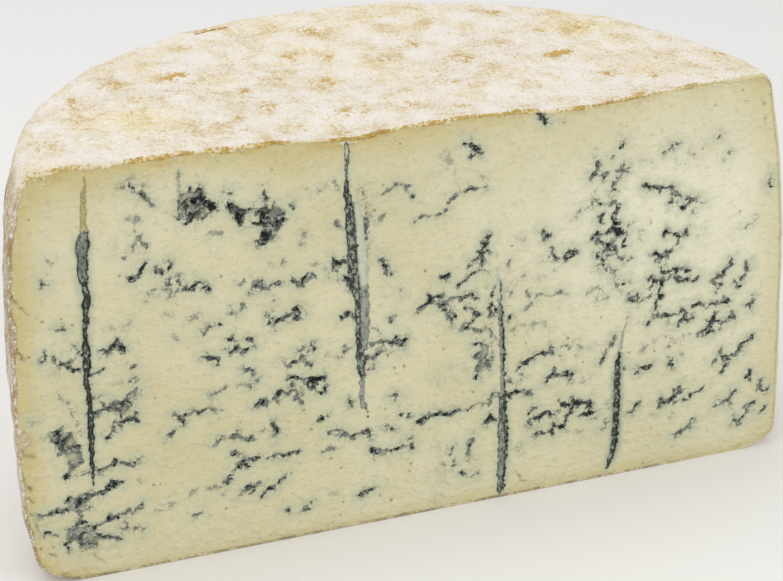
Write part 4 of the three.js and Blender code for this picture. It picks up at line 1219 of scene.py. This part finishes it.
# Paste: the moist, waxy inside of a pierced blue cheese, cut with a knife. It scatters light just below
# its surface and shines softly, while the mould in its openings is dull and dark.
pasteLook = {
    "pale": "#e1dcbe",
    "deep": "#d7d0ab",
    # the paler colour of the painted light on the right half of the face
    "paintedLight": "#e8e5cb",
    # the warm tint next to the rind, also the colour of the painted shade on the left
    "warm": "#cdbf85",
    "stain": "#c8ae64",
    "halo": "#c2c6a9",
    "smoke": "#757b72",
    "thread": "#565a58",
    "black": "#1b201c",
    "slate": "#4a514b",
    "violet": "#8a8e86",
    "crumb": "#b7bbae",
    "slot": "#c9cdb6",
    "lining": "#6d7767",
    "tan": "#c0b380",
    "crack": "#7a683c",
    "pinhole": "#93834f",
    # pale curd and crumbs, also the painted highlight of the flecks on the cut
    "fleck": "#efebd6",
}


def pasteMaterial():
    material = newMaterial("bluePaste")
    tree = material.node_tree
    colour = {name: toLinear(value) for name, value in pasteLook.items()}
    place = addNode(tree, "TexCoord", {}, {}, "Object")
    vein, tone, track, trackTone, trackEdge, crack, crackTone, warm, paintedLight, stain, fray = (
        addNode(tree, "Attribute", {"attribute_name": name}, {}, "Fac")
        for name in ("vein", "veinTone", "track", "trackTone", "trackEdge", "crack", "crackTone", "warm",
                     "paintedLight", "stain", "fray")
    )

    # body colour: broad drifts, clouds of a few millimetres, warmer next to the rind, with painted shade
    # darkening the left and most of all the lower left, and painted light making the right half paler
    broad = addNode(tree, "TexNoise", {}, {"Vector": place, "Scale": 1000 / 45, "Detail": 3})
    cloud = addNode(tree, "TexNoise", {}, {"Vector": place, "Scale": 1000 / 6, "Detail": 3})
    drift = addNode(tree, "Math", scaleAdd, {0: cloud, 1: 0.5, 2: broad})
    drift = addNode(tree, "MapRange", {}, {"Value": drift, "From Min": 0.6, "From Max": 0.95})
    body = addNode(tree, "Mix", paint, {0: drift, 6: colour["pale"], 7: colour["deep"]}, 2)
    body = addNode(tree, "Mix", paint, {0: paintedLight, 6: body, 7: colour["paintedLight"]}, 2)
    body = addNode(tree, "Mix", paint, {0: warm, 6: body, 7: colour["warm"]}, 2)

    # smears left by the knife: pale flecks and small hollows that rise to the right; the pale flecks are
    # partly the paste's own pale curd, partly painted highlight on small crumbs
    slant = addNode(tree, "Mapping", {}, {
        "Vector": place, "Rotation": (0, 0.35, 0), "Scale": (0.65, 1, 1),
    })
    smear = addNode(tree, "TexNoise", {}, {"Vector": slant, "Scale": 1000 / 1.9, "Detail": 3})
    fleck = addNode(tree, "MapRange", smooth, {
        "Value": smear, "From Min": 0.56, "From Max": 0.8, "To Max": 0.5,
    })
    body = addNode(tree, "Mix", paint, {0: fleck, 6: body, 7: colour["fleck"]}, 2)
    hollow = addNode(tree, "MapRange", smooth, {
        "Value": smear, "From Min": 0.4, "From Max": 0.25, "To Max": 0.2,
    })
    body = addNode(tree, "Mix", paint, {0: hollow, 6: body, 7: colour["warm"]}, 2)

    # pinholes, brown inside
    upright = addNode(tree, "Mapping", {}, {"Vector": place, "Rotation": (math.pi / 2, 0, 0)})
    pinhole = addNode(tree, "TexVoronoi", {"voronoi_dimensions": "2D"}, {
        "Vector": upright, "Scale": 1000 / 7,
    })
    few = addNode(tree, "MapRange", {}, {
        "Value": cloud, "From Min": 0.5, "From Max": 0.65, "To Min": -0.02, "To Max": 0.06,
    })
    pinhole = addNode(tree, "Math", {"operation": "SUBTRACT"}, {0: few, 1: pinhole})
    pinhole = addNode(tree, "MapRange", smooth, {
        "Value": pinhole, "From Min": -0.01, "From Max": 0.03, "To Max": 0.6,
    })
    body = addNode(tree, "Mix", paint, {0: pinhole, 6: body, 7: colour["pinhole"]}, 2)

    # frayed border with the rind: golden where the rind bled into it, and white crumbs
    crumbs = addNode(tree, "TexNoise", {}, {"Vector": place, "Scale": 1000 / 1.1, "Detail": 2})
    stained = addNode(tree, "Math", scaleAdd, {0: crumbs, 1: 0.8, 2: stain})
    stained = addNode(tree, "MapRange", smooth, {
        "Value": stained, "From Min": 0.42, "From Max": 1.15, "To Max": 0.6,
    })
    body = addNode(tree, "Mix", paint, {0: stained, 6: body, 7: colour["stain"]}, 2)
    frayed = addNode(tree, "Math", scaleAdd, {0: fray, 1: 0.17, 2: crumbs})
    crumb = addNode(tree, "MapRange", smooth, {
        "Value": frayed, "From Min": 0.68, "From Max": 0.8, "To Max": 0.6,
    })
    body = addNode(tree, "Mix", paint, {0: crumb, 6: body, 7: colour["fleck"]}, 2)

    # the mould tints the paste round it before it shows itself
    ragged = addNode(tree, "TexNoise", {}, {
        "Vector": place, "Scale": 1000 / 1, "Detail": 3, "Roughness": 0.65,
    })
    rag = addNode(tree, "MapRange", {}, {
        "Value": ragged, "From Min": 0.3, "From Max": 0.7, "To Min": -0.55, "To Max": 0.55,
    })
    edge = addNode(tree, "Math", {"operation": "ADD"}, {0: vein, 1: rag})
    near = addNode(tree, "MapRange", smooth, {
        "Value": vein, "From Min": -3.8, "From Max": -0.2, "To Max": 0.8,
    })
    near = addNode(tree, "Math", multiply, {0: near, 1: tone})
    beside = addNode(tree, "MapRange", smooth, {"Value": track, "From Min": -2.4, "From Max": -0.1})
    strength = addNode(tree, "Math", {"operation": "POWER"}, {0: trackEdge, 1: 2})
    beside = addNode(tree, "Math", multiply, {0: beside, 1: strength})
    fresh = addNode(tree, "Math", scaleAdd, {0: warm, 1: -0.85, 2: 1})
    beside = addNode(tree, "Math", multiply, {0: beside, 1: fresh})
    near = addNode(tree, "Math", {"operation": "MAXIMUM"}, {0: near, 1: beside})
    body = addNode(tree, "Mix", paint, {0: near, 6: body, 7: colour["halo"]}, 2)
    beside = addNode(tree, "Math", {"operation": "POWER"}, {0: beside, 1: 4})
    beside = addNode(tree, "Math", multiply, {0: beside, 1: 0.32})
    body = addNode(tree, "Mix", paint, {0: beside, 6: body, 7: colour["smoke"]}, 2)

    # threads finer than a hair reach out from the thick marks
    thread = addNode(tree, "TexNoise", {}, {"Vector": place, "Scale": 1000 / 1.8, "Detail": 2})
    thread = addNode(tree, "Math", {"operation": "SUBTRACT"}, {0: thread, 1: 0.5})
    thread = addNode(tree, "Math", {"operation": "ABSOLUTE"}, {0: thread})
    ridge = addNode(tree, "MapRange", smooth, {"Value": thread, "From Min": 0.06, "From Max": 0.015})
    reach = addNode(tree, "MapRange", smooth, {
        "Value": vein, "From Min": -1.3, "From Max": -0.1, "To Max": 0.6,
    })
    thread = addNode(tree, "Math", multiply, {0: ridge, 1: reach})
    thread = addNode(tree, "Math", multiply, {0: thread, 1: tone})
    body = addNode(tree, "Mix", paint, {0: thread, 6: body, 7: colour["thread"]}, 2)

    # a soft grey bloom, then black specks that close up where the mould is thick
    density = addNode(tree, "MapRange", smooth, {"Value": edge, "From Min": -0.42, "From Max": 0.48})
    density = addNode(tree, "Math", multiply, {0: density, 1: tone})
    bloom = addNode(tree, "MapRange", smooth, {
        "Value": density, "From Min": 0.08, "From Max": 0.55, "To Max": 0.9,
    })
    body = addNode(tree, "Mix", paint, {0: bloom, 6: body, 7: colour["smoke"]}, 2)
    speck = addNode(tree, "TexNoise", {}, {
        "Vector": place, "Scale": 1000 / 0.9, "Detail": 2, "Roughness": 0.6,
    })
    speck = addNode(tree, "Math", scaleAdd, {0: density, 1: 0.55, 2: speck})
    dark = addNode(tree, "MapRange", smooth, {"Value": speck, "From Min": 0.84, "From Max": 1})
    wide = addNode(tree, "MapRange", smooth, {"Value": vein, "From Min": 0.4, "From Max": 0.85})

    # needle channels, pale where no air got in
    inTrack = addNode(tree, "Math", scaleAdd, {0: rag, 1: 0.45, 2: track})
    trackShown = addNode(tree, "MapRange", smooth, {
        "Value": inTrack, "From Min": -0.15, "From Max": 0.15,
    })

    # open mould: pale crumbs, violet grey, slate and black, drawn out upright in the channels
    lumps = addNode(tree, "TexNoise", {}, {
        "Vector": place, "Scale": 1000 / 1.9, "Detail": 3, "Roughness": 0.6,
    })
    stretch = addNode(tree, "Mapping", {}, {"Vector": place, "Scale": (1, 1, 0.75)})
    streak = addNode(tree, "TexNoise", {}, {
        "Vector": stretch, "Scale": 1000, "Detail": 2, "Roughness": 0.65,
    })
    fill = addNode(tree, "MapRange", {}, {
        "Value": lumps, "From Min": 0.3, "From Max": 0.7, "To Min": 0.12, "To Max": 0.76,
    })
    fill = addNode(tree, "Math", scaleAdd, {0: ridge, 1: 0.3, 2: fill})
    soft = addNode(tree, "MapRange", {}, {
        "Value": streak, "From Min": 0.3, "From Max": 0.7, "To Min": 0.12, "To Max": 0.88,
    })
    calm = addNode(tree, "MapRange", {}, {
        "Value": trackTone, "From Min": 0.44, "From Max": 0.38, "To Max": 0.65,
    })
    soft = addNode(tree, "Mix", {"data_type": "FLOAT"}, {0: calm, 2: soft, 3: 0.5})
    fill = addNode(tree, "Mix", {"data_type": "FLOAT"}, {0: trackShown, 2: fill, 3: soft})
    thin = addNode(tree, "MapRange", {}, {"Value": wide, "To Min": 0.42, "To Max": 0.3})
    wideTone = addNode(tree, "Math", scaleAdd, {0: tone, 1: 0.36, 2: thin})
    level = addNode(tree, "Mix", {"data_type": "FLOAT"}, {0: trackShown, 2: wideTone, 3: trackTone})
    shade = addNode(tree, "Math", scaleAdd, {0: level, 1: 0.5, 2: fill})
    openMould = colour["crumb"]
    for name, low, high in (("violet", 0.6, 0.69), ("slate", 0.7, 0.78), ("black", 0.8, 0.88)):
        step = addNode(tree, "MapRange", smooth, {"Value": shade, "From Min": low, "From Max": high})
        openMould = addNode(tree, "Mix", paint, {0: step, 6: openMould, 7: colour[name]}, 2)
    strong = addNode(tree, "MapRange", smooth, {"Value": tone, "From Min": 0.25, "From Max": 0.65})
    covered = addNode(tree, "Math", multiply, {0: wide, 1: strong})
    covered = addNode(tree, "Math", {"operation": "MAXIMUM"}, {0: dark, 1: covered})
    body = addNode(tree, "Mix", paint, {0: covered, 6: body, 7: openMould}, 2)

    tanned = addNode(tree, "MapRange", {}, {"Value": trackTone, "From Min": -0.03, "From Max": -0.12})
    plain = addNode(tree, "Mix", paint, {0: tanned, 6: colour["slot"], 7: colour["tan"]}, 2)
    aired = addNode(tree, "MapRange", {}, {"Value": trackTone, "From Min": 0.14, "From Max": 0.21})
    inner = addNode(tree, "Mix", paint, {0: aired, 6: plain, 7: openMould}, 2)
    border = addNode(tree, "MapRange", smooth, {
        "Value": inTrack, "From Min": 0.55, "From Max": 0.18,
    })
    border = addNode(tree, "Math", multiply, {0: border, 1: trackEdge})
    lined = addNode(tree, "Math", multiply, {0: aired, 1: 0.3})
    inner = addNode(tree, "Mix", paint, {0: lined, 6: inner, 7: colour["lining"]}, 2)
    channel = addNode(tree, "Mix", paint, {0: border, 6: inner, 7: colour["black"]}, 2)
    body = addNode(tree, "Mix", paint, {0: trackShown, 6: body, 7: channel}, 2)

    # brown cracks from the rind
    cracked = addNode(tree, "Math", scaleAdd, {0: rag, 1: 0.5, 2: crack})
    cracked = addNode(tree, "MapRange", smooth, {
        "Value": cracked, "From Min": -0.2, "From Max": 0.35, "To Max": 0.85,
    })
    cracked = addNode(tree, "Math", multiply, {0: cracked, 1: crackTone})
    body = addNode(tree, "Mix", paint, {0: cracked, 6: body, 7: colour["crack"]}, 2)

    # moist paste shines, mould doesn't
    dull = addNode(tree, "Math", {"operation": "MAXIMUM"}, {0: bloom, 1: trackShown})
    sheen = addNode(tree, "MapRange", {}, {
        "Value": smear, "From Min": 0.3, "From Max": 0.7, "To Min": 0.55, "To Max": 0.42,
    })
    roughness = addNode(tree, "Math", scaleAdd, {0: dull, 1: 0.4, 2: sheen})
    heights = smear
    for field, share in ((dark, -0.6), (crumb, 0.4), (fleck, 0.5), (pinhole, -0.8), (ragged, 0.3)):
        heights = addNode(tree, "Math", scaleAdd, {0: field, 1: share, 2: heights})
    bump = addNode(tree, "Bump", {}, {"Height": heights, "Strength": 0.75, "Distance": 0.0012})
    shader = addNode(tree, "BsdfPrincipled", {}, {
        "Base Color": body, "Roughness": roughness, "Normal": bump, "IOR": 1.45,
        "Subsurface Weight": 0.12, "Subsurface Radius": (1, 0.8, 0.45), "Subsurface Scale": 0.0015,
    })
    addNode(tree, "OutputMaterial", {}, {"Surface": shader})
    return material


# Rind: a dry natural rind, brushed and dusted with white mould, tan where the brush wore through.
rindLook = {
    "flour": "#ece3d2",
    "cream": "#ead9b4",
    "white": "#f6f1ec",
    "tan": "#d6be84",
    "rust": "#cea352",
    "yellow": "#efdfae",
    "grey": "#c9ba9a",
    "wallTan": "#b1976f",
    "wallDark": "#80684a",
    "craze": "#bd9a5a",
    "crumb": "#f0e3bf",
    "crack": "#8a6a34",
    "gold": "#d2b66d",
    "goldDeep": "#ab8843",
    "edgeGrey": "#9a9078",
    "footBrown": "#c4b488",
    "paleEdge": "#ddd2a4",
}


def rindMaterial():
    material = newMaterial("naturalRind")
    tree = material.node_tree
    colour = {name: toLinear(value) for name, value in rindLook.items()}
    place = addNode(tree, "TexCoord", {}, {}, "Object")
    rust, yellow, wall, edge, foot, upper, rightEnd, crack = (
        addNode(tree, "Attribute", {"attribute_name": name}, {}, "Fac")
        for name in ("rust", "yellow", "wall", "edge", "foot", "upper", "rightEnd", "crack")
    )

    # the cloth and the shelf left the pattern longer from front to back
    lay = addNode(tree, "Mapping", {}, {"Vector": place, "Scale": (1, 0.8, 0.8)})
    broad = addNode(tree, "TexNoise", {}, {"Vector": lay, "Scale": 1000 / 18, "Detail": 2})
    patches = addNode(tree, "TexNoise", {}, {
        "Vector": lay, "Scale": 1000 / 7, "Detail": 5, "Roughness": 0.62,
    })
    grain = addNode(tree, "TexNoise", {}, {
        "Vector": lay, "Scale": 1000 / 0.8, "Detail": 3, "Roughness": 0.75,
    })
    creamy = addNode(tree, "MapRange", smooth, {
        "Value": broad, "From Min": 0.45, "From Max": 0.65, "To Max": 0.6,
    })
    base = addNode(tree, "Mix", paint, {0: creamy, 6: colour["flour"], 7: colour["cream"]}, 2)
    base = addNode(tree, "Mix", paint, {0: yellow, 6: base, 7: colour["yellow"]}, 2)
    base = addNode(tree, "Mix", paint, {0: wall, 6: base, 7: colour["grey"]}, 2)

    # golden patches where the flour wore off, broken into grains; the rest keeps its white bloom
    amount = addNode(tree, "Math", scaleAdd, {0: patches, 1: 0.9, 2: grain})
    torn = addNode(tree, "TexNoise", {}, {
        "Vector": lay, "Scale": 1000 / 3.2, "Detail": 4, "Roughness": 0.65,
    })
    torn = addNode(tree, "MapRange", {}, {
        "Value": torn, "From Min": 0.38, "From Max": 0.62, "To Min": 0.02, "To Max": 0.5,
    })
    spot = addNode(tree, "Math", multiply, {0: rust, 1: torn})
    amount = addNode(tree, "Math", scaleAdd, {0: spot, 1: 0.95, 2: amount})
    bloom = addNode(tree, "MapRange", smooth, {
        "Value": amount, "From Min": 1, "From Max": 0.8, "To Max": 0.75,
    })
    shelf = addNode(tree, "Math", scaleAdd, {0: wall, 1: -0.3, 2: 1})
    bloom = addNode(tree, "Math", multiply, {0: bloom, 1: shelf})
    base = addNode(tree, "Mix", paint, {0: bloom, 6: base, 7: colour["white"]}, 2)
    mottled = addNode(tree, "MapRange", smooth, {
        "Value": amount, "From Min": 0.99, "From Max": 1.18, "To Max": 0.7,
    })
    base = addNode(tree, "Mix", paint, {0: mottled, 6: base, 7: colour["tan"]}, 2)
    spot = addNode(tree, "Math", scaleAdd, {0: grain, 1: 0.35, 2: spot})
    rusty = addNode(tree, "MapRange", smooth, {
        "Value": spot, "From Min": 0.33, "From Max": 0.5, "To Max": 0.85,
    })
    base = addNode(tree, "Mix", paint, {0: rusty, 6: base, 7: colour["rust"]}, 2)

    # fine brown lines where the dry skin crazed
    craze = addNode(tree, "TexNoise", {}, {"Vector": lay, "Scale": 1000 / 2.4, "Detail": 3})
    craze = addNode(tree, "Math", {"operation": "SUBTRACT"}, {0: craze, 1: 0.5})
    craze = addNode(tree, "Math", {"operation": "ABSOLUTE"}, {0: craze})
    craze = addNode(tree, "MapRange", smooth, {"Value": craze, "From Min": 0.05, "From Max": 0.01})
    crazed = addNode(tree, "MapRange", smooth, {
        "Value": amount, "From Min": 0.95, "From Max": 1.15, "To Max": 0.45,
    })
    craze = addNode(tree, "Math", multiply, {0: craze, 1: crazed})
    base = addNode(tree, "Mix", paint, {0: craze, 6: base, 7: colour["craze"]}, 2)

    # the wall is greyer and its grains stand out more
    wear = addNode(tree, "Math", scaleAdd, {0: broad, 1: 0.4, 2: amount})
    for name, low, high, most in (("wallTan", 1.02, 1.24, 0.85), ("wallDark", 1.22, 1.42, 0.75)):
        worn = addNode(tree, "MapRange", smooth, {
            "Value": wear, "From Min": low, "From Max": high, "To Max": most,
        })
        worn = addNode(tree, "Math", multiply, {0: worn, 1: wall})
        base = addNode(tree, "Mix", paint, {0: worn, 6: base, 7: colour[name]}, 2)
    dust = addNode(tree, "Math", scaleAdd, {0: broad, 1: 0.4, 2: grain})
    dust = addNode(tree, "MapRange", smooth, {
        "Value": dust, "From Min": 0.63, "From Max": 0.52, "To Max": 0.85,
    })
    dust = addNode(tree, "Math", multiply, {0: dust, 1: wall})
    base = addNode(tree, "Mix", paint, {0: dust, 6: base, 7: colour["white"]}, 2)
    split = addNode(tree, "Math", scaleAdd, {0: grain, 1: 1.2, 2: crack})
    split = addNode(tree, "MapRange", smooth, {"Value": split, "From Min": 0, "From Max": 0.35})
    base = addNode(tree, "Mix", paint, {0: split, 6: base, 7: colour["crack"]}, 2)

    # the broken edge at the cut: golden above, brown at the foot, like the wall down the sides
    crumbs = addNode(tree, "TexNoise", {}, {
        "Vector": place, "Scale": 1000 / 0.9, "Detail": 3, "Roughness": 0.65,
    })
    drift = addNode(tree, "TexNoise", {}, {"Vector": place, "Scale": 1000 / 7, "Detail": 2})
    broken = addNode(tree, "Mix", paint, {0: foot, 6: colour["gold"], 7: colour["footBrown"]}, 2)
    deeper = addNode(tree, "Mix", paint, {0: upper, 6: colour["edgeGrey"], 7: colour["goldDeep"]}, 2)
    crumbs = addNode(tree, "Math", scaleAdd, {0: drift, 1: 0.8, 2: crumbs})
    low = addNode(tree, "MapRange", smooth, {
        "Value": crumbs, "From Min": 0.86, "From Max": 0.74, "To Max": 0.8,
    })
    broken = addNode(tree, "Mix", paint, {0: low, 6: broken, 7: deeper}, 2)
    high = addNode(tree, "MapRange", smooth, {
        "Value": crumbs, "From Min": 0.9, "From Max": 0.98, "To Max": 0.9,
    })
    broken = addNode(tree, "Mix", paint, {0: high, 6: broken, 7: colour["crumb"]}, 2)
    bare = addNode(tree, "Math", multiply, {0: rightEnd, 1: 0.95})
    broken = addNode(tree, "Mix", paint, {0: bare, 6: broken, 7: colour["paleEdge"]}, 2)
    fringe = addNode(tree, "Math", scaleAdd, {0: crumbs, 1: -1.3, 2: edge})
    fringe = addNode(tree, "MapRange", smooth, {"Value": fringe, "From Min": -0.75, "From Max": -0.6})
    level = addNode(tree, "Math", {"operation": "MAXIMUM"}, {0: upper, 1: foot})
    fringe = addNode(tree, "Math", multiply, {0: fringe, 1: level})
    base = addNode(tree, "Mix", paint, {0: fringe, 6: base, 7: broken}, 2)

    heights = addNode(tree, "Math", scaleAdd, {0: patches, 1: 1.5, 2: grain})
    rough = addNode(tree, "Math", scaleAdd, {0: wall, 1: 0.8, 2: 1})
    heights = addNode(tree, "Math", multiply, {0: heights, 1: rough})
    bump = addNode(tree, "Bump", {}, {"Height": heights, "Strength": 0.6, "Distance": 0.0008})
    shader = addNode(tree, "BsdfPrincipled", {}, {
        "Base Color": base, "Roughness": 0.9, "Normal": bump, "IOR": 1.4,
    })
    addNode(tree, "OutputMaterial", {}, {"Surface": shader})
    return material


rindPiece.data.materials.clear()
rindPiece.data.materials.append(rindMaterial())
pastePiece.data.materials.clear()
pastePiece.data.materials.append(pasteMaterial())
print("materials made")


# camera, aimed at the cut face; angles in degrees, lengths in millimetres
view = {
    "azimuth": -17.362,
    "elevation": 26.431,
    "distance": 422.93,
    "target": (-7.2, 0, 65.7),
    "roll": -1.246,
    "lens": 80.165,
    "sensor": 36,
}


def placeCamera():
    azimuth, elevation = math.radians(view["azimuth"]), math.radians(view["elevation"])
    back = Vector((
        math.sin(azimuth) * math.cos(elevation),
        -math.cos(azimuth) * math.cos(elevation),
        math.sin(elevation),
    ))
    level = Vector((0, 0, 1)).cross(back).normalized()
    upright = back.cross(level)
    roll = math.radians(view["roll"])
    right = level * math.cos(roll) + upright * math.sin(roll)
    up = upright * math.cos(roll) - level * math.sin(roll)
    data = bpy.data.cameras.new("studioCamera")
    data.lens = view["lens"]
    data.sensor_width = view["sensor"]
    data.clip_start = 0.01
    camera = bpy.data.objects.new("studioCamera", data)
    bpy.context.scene.collection.objects.link(camera)
    faceCentre = Vector((axisPlace.x, axisPlace.y - wheel["cutOffset"], 0))
    place = (faceCentre + Vector(view["target"]) + back * view["distance"]) * mm
    matrix = Matrix((right, up, back)).transposed().to_4x4()
    matrix.translation = place
    camera.matrix_world = matrix
    bpy.context.scene.camera = camera


placeCamera()

# soft light from all round, a large lamp overhead and two in front; lengths in metres
studio = {
    # name, place, size, power
    "lamps": [
        ("overhead", (-0.2, 0.15, 1.1), 1.0, 5.65),
        ("frontLeft", (-0.9, -1.1, 0.8), 0.9, 4.85),
        ("frontRight", (1.0, -1.0, 0.6), 0.9, 5.6),
    ],
    "aim": (0, 0, 0.05),
    "around": 0.48,
    "floorSize": 6,
    "floorColour": "#f4f3f1",
}
for name, place, size, power in studio["lamps"]:
    data = bpy.data.lights.new(name, "AREA")
    data.size = size
    data.energy = power
    lamp = bpy.data.objects.new(name, data)
    lamp.location = place
    lamp.rotation_euler = (Vector(studio["aim"]) - Vector(place)).to_track_quat("-Z", "Y").to_euler()
    bpy.context.scene.collection.objects.link(lamp)
world = bpy.data.worlds.new("studio")
world.use_nodes = True
world.node_tree.nodes["Background"].inputs["Color"].default_value = (1, 1, 1, 1)
world.node_tree.nodes["Background"].inputs["Strength"].default_value = studio["around"]
bpy.context.scene.world = world
bpy.context.scene.view_settings.view_transform = "Standard"

bpy.ops.object.select_all(action="DESELECT")
bpy.ops.mesh.primitive_plane_add(size=studio["floorSize"])
floor = bpy.context.object
floor.name = "floor"
floorPaint = newMaterial("floorPaint")
floorShader = addNode(floorPaint.node_tree, "BsdfPrincipled", {}, {
    "Base Color": toLinear(studio["floorColour"]), "Roughness": 0.9,
})
addNode(floorPaint.node_tree, "OutputMaterial", {}, {"Surface": floorShader})
floor.data.materials.append(floorPaint)
print("studio set")
